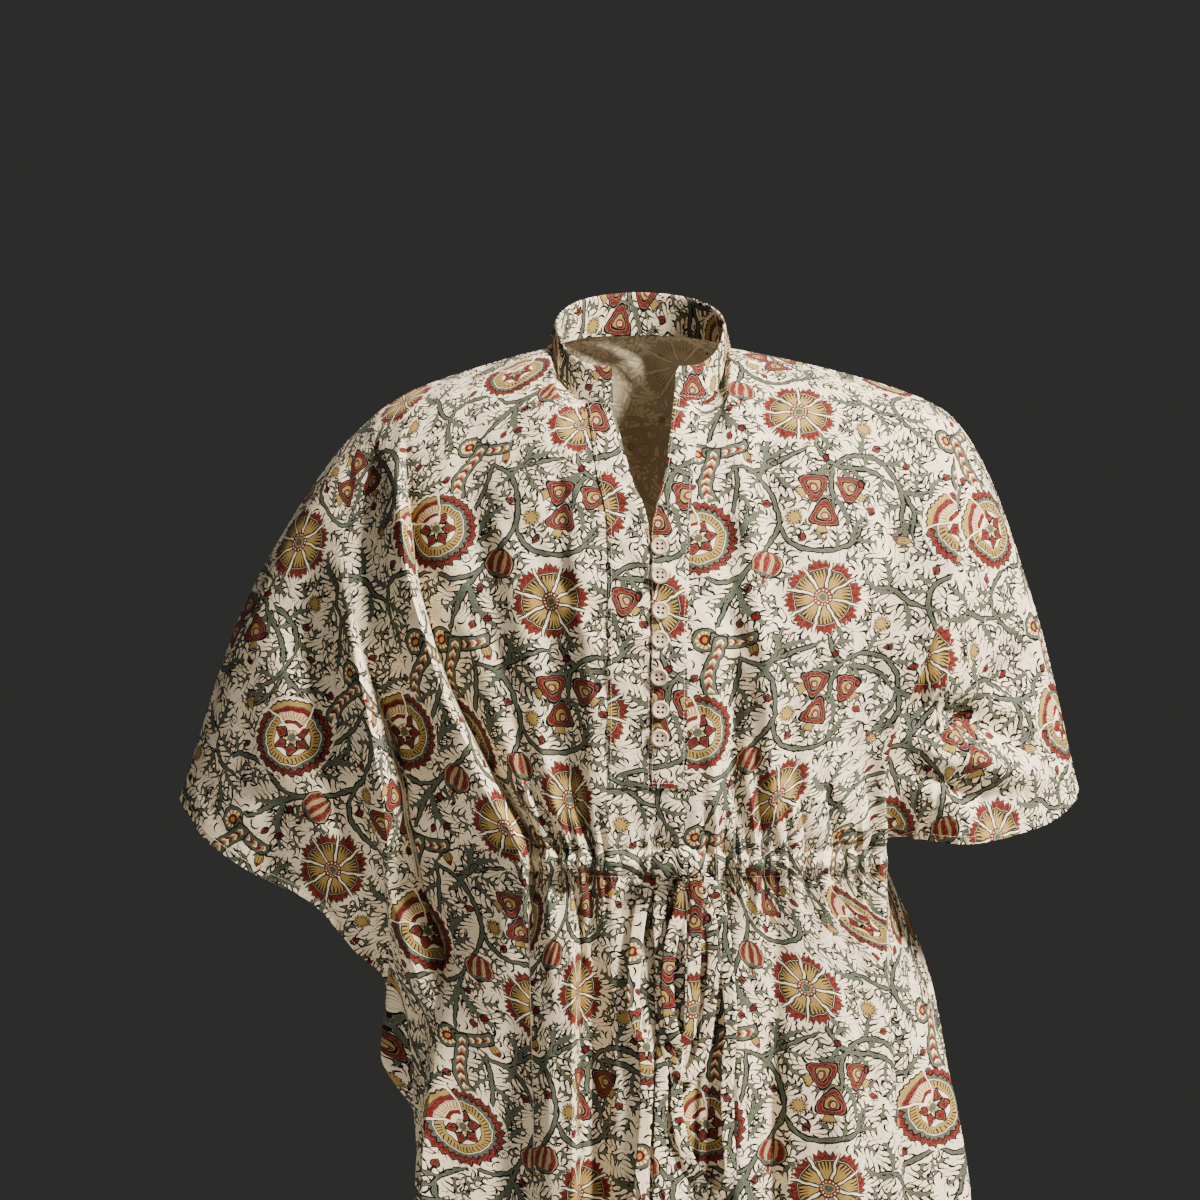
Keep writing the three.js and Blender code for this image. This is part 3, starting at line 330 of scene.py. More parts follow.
def solve(rising, target, low, high):
    """Values between low and high at which a rising function passes the targets."""
    target = np.asarray(target, float)
    low, high = np.full(target.shape, float(low)), np.full(target.shape, float(high))
    for _ in range(36):
        middle = (low + high) / 2
        under = rising(middle) < target
        low, high = np.where(under, middle, low), np.where(under, high, middle)
    return low


def gather_table():
    """Fall line, half width, depth, and reach up and down of each gather."""
    made = []
    for low, high, count, depth, up, down in GATHERS:
        i = np.arange(count)
        spread = (0.35 + i * 0.618) % 1
        x = mix(low, high, (i + 0.5 + 0.35 * (spread - 0.5)) / count)
        reach = 0.45 + 0.9 * ((i * 0.382 + 0.2) % 1)
        half = np.full(count, 0.24 * (high - low) / count)
        columns = [x, half, depth * (0.75 + 0.5 * spread), up * reach, down * (1.3 - 0.5 * reach)]
        made.append(np.stack(columns, 1))
    table = np.concatenate(made)
    casing = FRONT.frame([float(CASING)])
    table[:, 0] = solve(lambda l: FRONT.at(casing, l[None])[0, :, 0], table[:, 0], EDGE_L, EDGE_R)
    return table


GATHERED = gather_table()


def above_tuck(rows):
    return (FRONT.points(rows, np.array([float(SLIT_L)]))[:, 0, 2] - HEIGHT[CASING, SLIT_L])[:, None]


def gathers(lengths, rows, lines, points, deeper):
    above = above_tuck(rows)
    total = 0
    for k, (line, half_width, depth, up, down) in enumerate(GATHERED):
        reach = np.where(above > 0, up, down) * (1.2 if deeper > 1 else 1)
        fade = np.exp(-((above / reach) ** 2))
        half = half_width + 0.05 * np.abs(above)
        away = length_at(lengths, lines) - length_at(lengths, np.full((len(rows), 1), line))
        shape = (np.exp(-((away / half) ** 2)) - 0.35) * np.exp(-((away / 40) ** 2))
        depth = depth * deeper
        total = total - depth * fade * shape
        if k + 1 < len(GATHERED):  # a smaller one on the way to the next
            between = mix(line, GATHERED[k + 1, 0], 0.5 + 0.1 * math.sin(3 * k))
            near = length_at(lengths, lines) - length_at(lengths, np.full((len(rows), 1), between))
            small = SMALL_GATHERS * (1.4 if deeper > 1 else 1) * depth
            small = small * np.exp(-((above / (0.55 * reach)) ** 2))
            total = total - small * np.exp(-((near / (0.6 * half_width + 0.03 * np.abs(above))) ** 2))
    x = points[..., 0]
    inside = smooth((x - TUCK_FROM) / 8) * smooth((TUCK_TO - x) / 8)
    swell = TUCK_SWELL * np.exp(-((above / TUCK_HALF) ** 2))
    groove = TUCK_GROOVE * np.exp(-(((np.abs(above) - 2 * TUCK_HALF) / 3) ** 2))
    return total * ((above < 150) & (above > -190)) + inside * (swell - groove)


def taken_up(panel, rows, lines):
    """Width of cloth that the gathers take up between the slit and each place."""
    if panel is BACK:
        return 0
    lengths, above = panel.along(rows), above_tuck(rows)
    s, middle = length_at(lengths, lines), length_at(lengths, np.full((len(rows), 1), float(SLIT_L)))
    total = 0
    for line, half_width, depth, up, down in GATHERED:
        fade = np.exp(-((above / (1.2 * np.where(above > 0, up, down))) ** 2))
        at, wide = length_at(lengths, np.full((len(rows), 1), line)), 1.3 * half_width + 0.05 * np.abs(above)
        step = np.tanh((s - at) / wide) - np.tanh((middle - at) / wide)
        total = total + 0.55 * FINE_GATHERS * depth * fade * step
    # Past the groups the pleats hide the slack.
    lines = np.asarray(lines, float)
    inside = (lines > PLEAT_L + CREVICE) & (lines < FOLD_R + CREVICE)
    return np.where(inside[None], total, 0)


def free_of_seams(rows, lines):
    rows, lines = rows[:, None], np.broadcast_to(lines, (len(rows), len(lines)))
    side = smooth(np.minimum(lines, EDGE_R - lines) / 0.6)
    return smooth(rows / 0.8) * mix(1, side, smooth((rows - PLACKET_END) / 0.9))


def ripples(lengths, rows, lines, seed):
    """Low uneven waves in the cloth, along and across it."""
    draw = np.random.default_rng(seed)
    s, r = length_at(lengths, lines), rows[:, None]
    total = 0
    for wavelength, height in ((46, 0.55), (31, 0.42), (21, 0.28), (14, 0.16)):
        for _ in range(2):
            tilt, phase = draw.uniform(-0.35, 0.35), draw.uniform(0, 6.3)
            beat, shift = draw.uniform(1.2, 2.6), draw.uniform(0, 6.3)
            wave = np.sin(2 * np.pi * s / wavelength + tilt * 3 * r + phase + 1.3 * np.sin(beat * r + shift))
            total = total + height * wave * (0.6 + 0.4 * np.sin(1.7 * beat * r + s / 60 + shift))
    return total


def hem_share(lengths, rows, lines, panel):
    """1 in the turned hems of the sleeves and the skirt, 0 elsewhere."""
    s = length_at(lengths, lines)
    edge = np.minimum(s, lengths[:, -1:] - s)
    sleeve = np.where(rows[:, None] < CASING - 0.05, 1 - smooth((edge - HEM_WIDTH) / 1.2), 0)
    z = panel.points(rows, lines)[..., 2]
    skirt = 1 - smooth((z - HEIGHT[HEM, 0] - 1.4 * HEM_WIDTH) / 1.6)
    return np.maximum(sleeve, skirt)


class Cloth:
    """A panel with its folds, as a grid of points and outward normals."""

    def __init__(self, panel, rows, lines, fine=True):
        rows, lines = np.asarray(rows, float), np.asarray(lines, float)
        self.panel, self.rows, self.lines = panel, rows, lines
        lengths = panel.along(rows)
        points = panel.points(rows, lines)
        normals = panel.normals(rows, lines)
        free = free_of_seams(rows, lines)
        if panel is FRONT:
            up, lean = pleats(lengths, rows, lines)
            rise = up + soft_folds(lengths, rows, lines, FRONT_FOLDS) * (FINE_FOLDS if fine else 1.0)
            rise = rise + gathers(lengths, rows, lines, points, FINE_GATHERS if fine else 1.0)
            rise = rise + cross_folds(points, CROSS_FOLDS)
            creases, seed, cross = FRONT_CREASES, 11, CROSS_CREASES
        else:
            lean = 0
            rise = soft_folds(lengths, rows, lines, BACK_FOLDS)
            creases, seed, cross = BACK_CREASES, 23, []
        if fine:
            rise = rise + 1.5 * soft_folds(lengths, rows, lines, creases) + 1.4 * cross_folds(points, cross)
            rise = rise + ripples(lengths, rows, lines, seed) - 0.6
        points = points + normals * (rise * free)[..., None]
        points[..., 0] += lean * free
        if fine:
            points += normals * (HEM_RISE * hem_share(lengths, rows, lines, panel))[..., None]
        self.points = points
        across = np.gradient(points, lines, axis=1)
        down = np.gradient(points, rows, axis=0)
        self.normals = unit(np.cross(across, down) * panel.facing)

    def place(self, rows, lines):
        """Points and normals at rows and lines, which are lists of one length."""
        def weights(values, wanted):
            i = np.clip(np.searchsorted(values, wanted, "right") - 1, 0, len(values) - 2)
            return i, np.clip((wanted - values[i]) / (values[i + 1] - values[i]), 0, 1)
        i, a = weights(self.rows, np.asarray(rows, float))
        j, b = weights(self.lines, np.asarray(lines, float))
        made = []
        for grid in (self.points, self.normals):
            top = mix(grid[i, j], grid[i, j + 1], b[:, None])
            low = mix(grid[i + 1, j], grid[i + 1, j + 1], b[:, None])
            made.append(mix(top, low, a[:, None]))
        return made[0], unit(made[1])


def places(counts, extra=()):
    """Whole numbers with each span split, and extra places."""
    made = [0.0]
    for i, count in enumerate(counts):
        made += [i + (j + 1) / count for j in range(count)]
    made = np.array(sorted(set(np.round(made + list(extra), 6))))
    keep = np.concatenate([[True], np.diff(made) > 0.004])
    return made[keep]


NEAR_PLEAT = [-0.06, -0.04, -0.025, -0.01, 0.01, 0.025, 0.04, 0.06, 0.09]
FRONT_LINES = places(
    [9, 11, 11, 24, 5, 6, 8, 2, 9, 11, 11, 28, 15, 20],
    [line + step for line in (2, 3, 3.62, 12) for step in NEAR_PLEAT]
    + [0.02, 0.05, 0.09, 0.13, 0.16, 13.84, 13.87, 13.91, 13.95, 13.98])
FRONT_ROWS = places([6, 11, 13, 17, 20, 26, 40, 24, 20, 22],
                    [5.8, 5.86, 5.92, 5.97, 6.02, 6.05, 6.08, 9.975, 9.985])
BACK_LINES = places([7, 9, 9, 12, 4, 4, 3, 3, 3, 4, 4, 12, 11, 9],
                    [0.02, 0.05, 0.09, 0.13, 0.16, 13.84, 13.87, 13.91, 13.95, 13.98])
BACK_ROWS = places([5, 8, 8, 10, 12, 10, 14, 18, 28, 32], [9.975, 9.985])


# ---------- meshes ----------
def linked(name, data):
    """A new object in the scene."""
    made = bpy.data.objects.new(name, data)
    bpy.context.scene.collection.objects.link(made)
    return made


def new_piece(name, points, faces, materials):
    mesh = bpy.data.meshes.new(name)
    mesh.from_pydata((np.asarray(points) * MM).tolist(), [], np.asarray(faces).tolist()
                     if not isinstance(faces, list) else faces)
    mesh.polygons.foreach_set("use_smooth", [True] * len(mesh.polygons))
    for material in materials:
        mesh.materials.append(material)
    piece = linked(name, mesh)
    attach(piece, BODY)
    mesh.update()
    return piece


def quads(rows, columns, keep=None):
    """Faces of a grid of points, as arrays of four corners."""
    i = np.arange(rows - 1)[:, None] * columns + np.arange(columns - 1)[None]
    faces = np.stack([i, i + columns, i + columns + 1, i + 1], -1)
    return faces.reshape(-1, 4) if keep is None else faces[keep]


def rim(faces, count):
    """Faces that join the free edges of a sheet with those of its other side."""
    edges = np.concatenate([faces[:, [k, (k + 1) % 4]] for k in range(4)])
    key = np.sort(edges, 1) @ np.array([4_000_000, 1])
    _, first, times = np.unique(key, return_index=True, return_counts=True)
    free = edges[first[times == 1]]
    return np.stack([free[:, 1], free[:, 0], free[:, 0] + count, free[:, 1] + count], 1)


def tube_faces(count, sides):
    """Faces between the rings of a tube, four corners each."""
    i, j = np.arange(count - 1)[:, None] * sides, np.arange(sides)[None]
    return np.stack([i + j, i + (j + 1) % sides, i + sides + (j + 1) % sides, i + sides + j], -1).reshape(-1, 4)


def cap_faces(first, sides):
    """Faces that close a ring with an even number of points, of which first is the first."""
    return np.array([[first + k, first + k + 1, first + sides - 2 - k, first + sides - 1 - k]
                     for k in range((sides - 2) // 2)])


def run_along(points):
    """How far along its path each point is."""
    return np.concatenate([[0], np.cumsum(np.linalg.norm(np.diff(points, axis=0), axis=1))])


def at_run(wanted, run, points):
    """The path's points, or other rows that go with them, at wanted distances along it."""
    return np.stack([np.interp(wanted, run, points[:, k]) for k in range(points.shape[1])], 1)


def smooth_edges(piece, angle=50):
    piece.data.set_sharp_from_angle(angle=math.radians(angle))


def shell(name, points, normals, faces, thickness, flat, materials):
    """A closed sheet of cloth: the outer side, the inner side and the rims. flat holds the print's places."""
    used, corner = np.unique(faces, return_inverse=True)
    faces = corner.reshape(faces.shape)
    outer = points.reshape(-1, 3)
    inner = outer - normals.reshape(-1, 3) * thickness
    count = len(used)
    every = np.concatenate([faces, faces[:, ::-1] + count, rim(faces, count)])
    piece = new_piece(name, np.concatenate([outer[used], inner[used]]), every, materials)
    side = np.zeros(len(every), np.int32)
    side[len(faces):2 * len(faces)] = 1
    piece.data.polygons.foreach_set("material_index", side)
    flat = flat.reshape(-1, 2)[used]
    print_on(piece, np.concatenate([flat, flat])[every])
    smooth_edges(piece)
    return piece


# ---------- the print's block ----------
# One repeat of the block, in flat-cloth millimetres from the middle of its fan flower: X to the right, Y up.
# Figures and fruits: kind, x, y, turn in degrees, and half the width that they take.
FAN, BOTEH, RIBBON = 1, 2, 3
BELL, POMEGRANATE, BURR, BUD, CURL, TULIP = 1, 2, 3, 4, 5, 6
FIGURES = [(FAN, 0, 0, 8, 32), (BOTEH, -92, 50, 22, 33), (RIBBON, -80, -46, 0, 29)]
FRUITS = [
    (BELL, -1, 87, -62, 10), (BELL, 26, 84, 48, 10), (BELL, 4, 64, -8, 10), (POMEGRANATE, -41, 27, -14, 13),
    (BURR, -19, 63, 20, 7), (BURR, 47, -20, 70, 7), (TULIP, -50, 113, -70, 6), (TULIP, 62, 45, 160, 6),
    (BUD, -95, 92, 30, 3), (BUD, -61, 134, 80, 3), (BUD, -37, 76, -20, 3), (BUD, -14, 47, 60, 3),
    (BUD, -56, 8, 80, 3), (BUD, -50, -14, 40, 3), (BUD, 40, 66, -30, 3), (BUD, 54, -38, 20, 4),
    (BUD, 84, 20, 60, 3), (BUD, 36, -66, 100, 3), (BUD, 12, -44, 45, 3), (BUD, 75, -52, 30, 3),
    (CURL, -68, 30, 0, 5), (CURL, 62, 24, 120, 5), (CURL, 96, -32, 200, 5), (CURL, 29, 37, 60, 5),
    (CURL, -28, -44, 20, 5), (CURL, 58, 78, 200, 5), (CURL, -30, 92, 250, 4)]
# Vines: the points that each runs through.
VINES = [
    [(-60, 106), (-46, 101), (-36, 90), (-31, 75), (-30, 58), (-40, 40), (-57, 22), (-71, -3), (-78, -20)],
    [(12, 74), (12, 86), (15, 98), (25, 107), (40, 110), (55, 105), (65, 92), (68, 76), (64, 60)],
    [(6, -30), (10, -42), (22, -52), (38, -54), (54, -60), (70, -72), (88, -74)],
    [(88, -24), (80, -8), (82, 8), (96, 16), (108, 20)],
    [(-30, 58), (-25, 46), (-14, 38), (3, 36), (20, 40), (30, 51)],
    [(-88, 19), (-78, 14), (-66, 16), (-57, 22)],
    [(-46, 101), (-32, 106), (-18, 112), (-4, 116)],
    [(-60, 106), (-60, 92), (-63, 78), (-66, 68)],
    [(70, -72), (74, -88), (70, -104)],
    [(80, -8), (66, -4), (56, 6), (44, 8)]]
# Leaves: base, tip, and the side that they bend to.
LEAVES = [
    (-38, 104, -8, 121, 1), (-31, 106, -28, 131, 1), (-30, 103, -13, 84, -1), (-62, 104, -74, 94, 1),
    (-62, 84, -50, 66, 1), (-62, 90, -78, 78, -1), (-65, 46, -55, 73, -1), (-64, 45, -39, 71, 1),
    (-60, 42, -42, 52, 1), (-66, 12, -60, -14, 1), (-64, 8, -40, -22, -1), (-64, 14, -84, -8, 1),
    (22, 41, 36, 62, 1), (10, 37, 12, 52, -1), (24, 42, 42, 40, 1), (16, 100, -6, 98, 1),
    (13, 78, 21, 52, 1), (11, 76, -10, 72, -1), (27, 106, 41, 88, -1), (6, 133, 18, 114, 1),
    (40, 109, 48, 128, 1), (57, 104, 76, 108, -1), (66, 82, 84, 74, 1), (66, 72, 50, 62, -1),
    (65, 62, 62, 38, 1), (9, -38, 26, -34, 1), (22, -52, 30, -74, 1), (14, -47, 2, -66, -1),
    (40, -54, 50, -42, 1), (54, -60, 52, -80, -1), (54, 4, 28, 16, 1), (52, 8, 46, 32, -1),
    (62, -4, 66, -26, 1), (82, -8, 104, -12, -1), (84, 10, 70, 20, 1), (86, -20, 100, -44, 1),
    (80, 4, 60, 10, 1), (88, -74, 106, -62, 1), (88, -75, 104, -88, -1), (74, -88, 92, -98, 1),
    (72, -96, 56, -108, -1), (-38, -26, -30, -48, 1), (-36, -44, -52, -66, 1), (-24, -48, -8, -52, -1),
    (88, 28, 78, 48, 1), (90, 36, 104, 54, -1), (80, 52, 70, 60, 1), (-20, 20, -34, 10, -1)]
LEAF_HALF = 6.0  # half width of a leaf with its barbs
LAYER_GAP = 7.0  # motifs of one layer stay this far apart
FILLERS = 38  # sprigs that fill the ground between the charted motifs


def wrapped(delta):
    return delta - REPEAT * np.round(delta / REPEAT)


def segment_distance(delta_a, delta_b):
    """Distance from the origin to segments given by the places of both ends."""
    along = delta_b - delta_a
    share = np.clip(-(delta_a * along).sum(-1) / np.maximum((along**2).sum(-1), 1e-9), 0, 1)
    return np.linalg.norm(delta_a + along * share[..., None], axis=-1)


class Motifs:
    """Motifs that may share a layer: spines from base to tip, half widths, turns and a third number."""

    def __init__(self, base, tip, half, turn, third, flip):
        self.base, self.tip = np.array(base, float), np.array(tip, float)
        self.half, self.turn = np.array(half, float), np.radians(turn)
        self.third, self.flip = np.array(third, float), np.array(flip, float)

    def part(self, keep):
        return Motifs(self.base[keep], self.tip[keep], self.half[keep], np.degrees(self.turn[keep]),
                      self.third[keep], self.flip[keep])

    def distance(self, places):
        """Distance of each place to the edge of each motif, its nearest copy."""
        middle = (self.base + self.tip) / 2
        reach = (self.tip - self.base) / 2
        delta = wrapped(middle[None] - places[:, None])
        return segment_distance(delta - reach, delta + reach) - self.half, delta - reach

    def local(self, corners, centres):
        """Places of the faces' corners in the frame of the motif nearest to each face."""
        distance, base = self.distance(centres)
        k = distance.argmin(1)
        origin = centres + base[np.arange(len(k)), k]
        away = corners - origin[:, None]
        turn = -self.turn[k][:, None]
        x = away[..., 0] * np.cos(turn) - away[..., 1] * np.sin(turn)
        y = (away[..., 0] * np.sin(turn) + away[..., 1] * np.cos(turn)) * self.flip[k][:, None]
        third = np.broadcast_to(self.third[k][:, None], x.shape)
        return np.stack([x, y, third], -1)


def round_motifs(rows):
    kind, x, y, turn, half = (np.array(c, float) for c in zip(*rows))
    spot = np.stack([x, y], 1)
    return Motifs(spot, spot, half, turn, kind, np.ones(len(rows)))


def leaf_motifs(rows):
    x1, y1, x2, y2, side = (np.array(c, float) for c in zip(*rows))
    turn = np.degrees(np.arctan2(y2 - y1, x2 - x1))
    length = np.hypot(x2 - x1, y2 - y1)
    half = np.minimum(LEAF_HALF, 0.26 * length + 1.8)
    return Motifs(np.stack([x1, y1], 1), np.stack([x2, y2], 1), half, turn, length, side)


def curve_through(points, step=3.0):
    """A smooth curve through points, at about equal steps."""
    points = np.array(points, float)
    ends = np.concatenate([[2 * points[0] - points[1]], points, [2 * points[-1] - points[-2]]])
    made = []
    for a, b, c, d in zip(ends, ends[1:], ends[2:], ends[3:]):
        count = max(2, int(np.linalg.norm(c - b) / step))
        t = np.arange(count)[:, None] / count
        made.append(0.5 * (2 * b + (c - a) * t + (2 * a - 5 * b + 4 * c - d) * t**2
                           + (3 * b - a - 3 * c + d) * t**3))
    return np.concatenate(made + [points[-1:]])


SPRIG_ROOM, SPRIG_LENGTH = 3.4, 13.0  # least free distance round a sprig, and its greatest length


def fill_ground(charted):
    """Sprigs in the free places of the repeat, the freest first."""
    draw = np.random.default_rng(5)
    grid = np.stack(np.meshgrid(np.arange(-100, 101, 2.5), np.arange(-76, 77, 2.5)), -1).reshape(-1, 2)
    curves = np.concatenate([curve_through(v) for v in VINES])
    free = np.min([m.distance(grid)[0].min(1) for m in charted], axis=0)
    vines = np.linalg.norm(wrapped(grid[:, None] - curves[None]), axis=-1).min(1) - 2
    free = np.minimum(free, vines)
    sprigs = []
    for _ in range(FILLERS):
        best = free.argmax()
        if free[best] < SPRIG_ROOM:
            break
        length = min(SPRIG_LENGTH, 2.1 * free[best])
        turn = draw.uniform(0, 2 * math.pi)
        reach = 0.5 * length * np.array([math.cos(turn), math.sin(turn)])
        low, high = grid[best] - reach, grid[best] + reach
        sprigs.append((*low, *high, draw.choice([-1, 1])))
        delta = wrapped(grid[best] - grid)
        free = np.minimum(free, segment_distance(delta - reach, delta + reach) - 2.6)
    return sprigs


def in_layers(motifs):
    """Shares motifs out to layers, so that those of one layer stay apart."""
    layers = []
    for k in range(len(motifs.half)):
        spine = mix(motifs.base[k], motifs.tip[k], np.linspace(0, 1, 5)[:, None])
        distance = motifs.distance(spine)[0].min(0) - motifs.half[k]
        for layer in layers:
            if distance[layer].min() > LAYER_GAP:
                layer.append(k)
                break
        else:
            layers.append([k])
    return [motifs.part(np.array(layer)) for layer in layers]


class Vines:
    """Stems of the print: the signed distance across and the place along the nearest one."""

    def __init__(self, curves):
        self.curves = [curve_through(points) for points in curves]
        self.owner = np.concatenate([np.full(len(c) - 1, i) for i, c in enumerate(self.curves)])
        self.start = np.concatenate([c[:-1] for c in self.curves])
        self.end = np.concatenate([c[1:] for c in self.curves])
        step = np.linalg.norm(self.end - self.start, axis=1)
        self.along = np.concatenate([np.cumsum(step[self.owner == i]) - step[self.owner == i]
                                     for i in range(len(self.curves))])
        self.total = np.array([step[self.owner == i].sum() for i in range(len(self.curves))])[self.owner]

    def local(self, corners, centres):
        middle = (self.start + self.end) / 2
        k = np.linalg.norm(wrapped(middle[None] - centres[:, None]), axis=-1).argmin(1)
        copy = centres + wrapped(middle[k] - centres) - middle[k]
        best = np.full(corners.shape[:2], 1e9)
        across, along = np.zeros(best.shape), np.zeros(best.shape)
        for step in (-1, 0, 1):
            n = np.clip(k + step, 0, len(self.owner) - 1)
            n = np.where(self.owner[n] == self.owner[k], n, k)
            start, run = (self.start[n] + copy)[:, None], (self.end[n] - self.start[n])[:, None]
            size = np.linalg.norm(run, axis=-1)
            away = corners - start
            share = np.clip((away * run).sum(-1) / size**2, 0, 1)
            off = away - run * share[..., None]
            distance = np.linalg.norm(off, axis=-1)
            sign = np.sign(run[..., 0] * off[..., 1] - run[..., 1] * off[..., 0])
            closer = distance < best
            best = np.where(closer, distance, best)
            across = np.where(closer, distance * np.where(sign == 0, 1, sign), across)
            along = np.where(closer, self.along[n][:, None] + share * size, along)
        taper = np.minimum(along, self.total[k][:, None] - along)
        return np.stack([across, along, 0.55 + 0.45 * np.clip(taper / 14, 0, 1)], -1)


def vine_layers(curves):
    """The first stems in one layer and those that branch off in a second."""
    return [Vines(curves[:4]), Vines(curves[4:])]


charted_leaves = leaf_motifs(LEAVES)
SPRIGS = fill_ground([round_motifs(FIGURES), round_motifs(FRUITS), charted_leaves])
LAYERS = {"figure": round_motifs(FIGURES)}
LAYERS |= {f"fruit_{i}": m for i, m in enumerate(in_layers(round_motifs(FRUITS)))}
LAYERS |= {f"leaf_{i}": m for i, m in enumerate(in_layers(leaf_motifs(LEAVES + SPRIGS)))}
LAYERS |= {f"vine_{i}": m for i, m in enumerate(vine_layers(VINES))}


def print_on(piece, flat):
    """Stores for each corner of each face its place in the nearest motif of each layer of the print."""
    flat = np.asarray(flat, float)
    if flat.shape[1] != 4:
        raise ValueError("the print goes on four-cornered faces")
    data = piece.data.attributes
    field = data.new("flat", "FLOAT_VECTOR", "CORNER")
    field.data.foreach_set("vector", np.concatenate([flat, flat[..., :1] * 0], -1).astype(np.float32).ravel())
    centres = flat.mean(1)
    for name, layer in LAYERS.items():
        made = np.concatenate([layer.local(flat[i:i + 20000], centres[i:i + 20000])
                               for i in range(0, len(flat), 20000)])
        field = data.new(name, "FLOAT_VECTOR", "CORNER")
        field.data.foreach_set("vector", made.astype(np.float32).ravel())


# ---------- node arithmetic ----------
class Wire:
    """A number in a node tree: arithmetic on it adds Math nodes."""

    def __init__(self, tree, socket):
        self.tree, self.socket = tree, socket

    def __add__(self, other):
        return calc("ADD", self, other)

    __radd__ = __add__

    def __sub__(self, other):
        return calc("SUBTRACT", self, other)

    def __rsub__(self, other):
        return calc("SUBTRACT", other, self)

    def __mul__(self, other):
        return calc("MULTIPLY", self, other)

    __rmul__ = __mul__

    def __truediv__(self, other):
        return calc("DIVIDE", self, other)


def calc(kind, *values):
    tree = next(v.tree for v in values if isinstance(v, Wire))
    node = tree.nodes.new("ShaderNodeMath")
    node.operation = kind
    for socket, value in zip(node.inputs, values):
        if isinstance(value, Wire):
            tree.links.new(value.socket, socket)
        else:
            socket.default_value = value
    return Wire(tree, node.outputs[0])


def size_of(a):
    return calc("ABSOLUTE", a)


def least(a, b):
    return calc("MINIMUM", a, b)


def most(a, b):
    return calc("MAXIMUM", a, b)


def times_plus(a, b, c):
    return calc("MULTIPLY_ADD", a, b, c)


def root(a):
    return calc("SQRT", a)


def to_line(a, pitch):
    """Distance from a to the nearest whole number of pitches."""
    return calc("PINGPONG", a, pitch / 2)


def step_from(a, low, high):
    """0 at low and 1 at high, with a smooth step between, whichever is greater."""
    node = a.tree.nodes.new("ShaderNodeMapRange")
    node.interpolation_type, node.clamp = "SMOOTHSTEP", False
    a.tree.links.new(a.socket, node.inputs["Value"])
    node.inputs["From Min"].default_value, node.inputs["From Max"].default_value = low, high
    return Wire(a.tree, node.outputs[0])


BLEED = 0.3  # width over which the ink's edge fades


def under(a, edge):
    """1 where a is less than edge, with the ink's soft edge."""
    if isinstance(edge, Wire):
        a, edge = a - edge, 0.0
    return step_from(a, edge + BLEED / 2, edge - BLEED / 2)


def over(a, edge):
    return step_from(a, edge - BLEED / 2, edge + BLEED / 2)


def between(a, low, high):
    return under(a, high) * over(a, low)


def vector_parts(tree, socket):
    node = tree.nodes.new("ShaderNodeSeparateXYZ")
    tree.links.new(socket, node.inputs[0])
    return [Wire(tree, node.outputs[i]) for i in range(3)]


def polar(x, y):
    r = root(times_plus(x, x, y * y))
    return r, calc("ARCTAN2", y, x)


INKS = ("ochre", "sage", "red", "dark", "cover")
FAR_AWAY = 1000.0


def motif_group(name, draw, kind=None):
    """A node group that draws one motif: from a place in its frame, how much of each ink."""
    tree = bpy.data.node_groups.new(name, "ShaderNodeTree")
    tree.interface.new_socket("place", in_out="INPUT", socket_type="NodeSocketVector")
    for ink in INKS:
        tree.interface.new_socket(ink, in_out="OUTPUT", socket_type="NodeSocketFloat")
    start, end = tree.nodes.new("NodeGroupInput"), tree.nodes.new("NodeGroupOutput")
    x, y, third = vector_parts(tree, start.outputs[0])
    if kind is not None:
        x = times_plus(size_of(third - kind), FAR_AWAY, x)
    for ink, value in draw(x, y, third).items():
        tree.links.new(value.socket, end.inputs[ink])
    return tree


# ---------- the motifs ----------
def draw_leaf(x, y, length):
    """A thistle leaf: a toothed sage body, outlined, with a dark barb that curls to the tip on each tooth."""
    t = x / length
    span = t * (1 - t)
    bent = y - span * length * 0.42
    side = size_of(bent)
    body = root(most(span, 0)) * (length * 0.095 + 1.1) * (1.3 - 0.6 * t) - 0.4
    inside = step_from(span, 0.004, 0.04)
    slant = times_plus(side, -0.2, x) - side * side * 0.075
    tooth = to_line(slant, 5.4)
    edge = side - body + tooth * 0.6 - 0.85
    barb = under(times_plus(edge, 0.12, tooth), 1.12) * over(edge, 0.1) * inside
    return {"sage": under(edge, 0.0), "dark": most(barb, between(edge, 0.0, 1.0) * inside)}


def draw_vine(x, _, width):
    """A stem with a dark outline."""
    edge = size_of(x) - width * 1.1
    return {"sage": under(edge, 0.0), "dark": between(edge, -0.2, 1.3)}


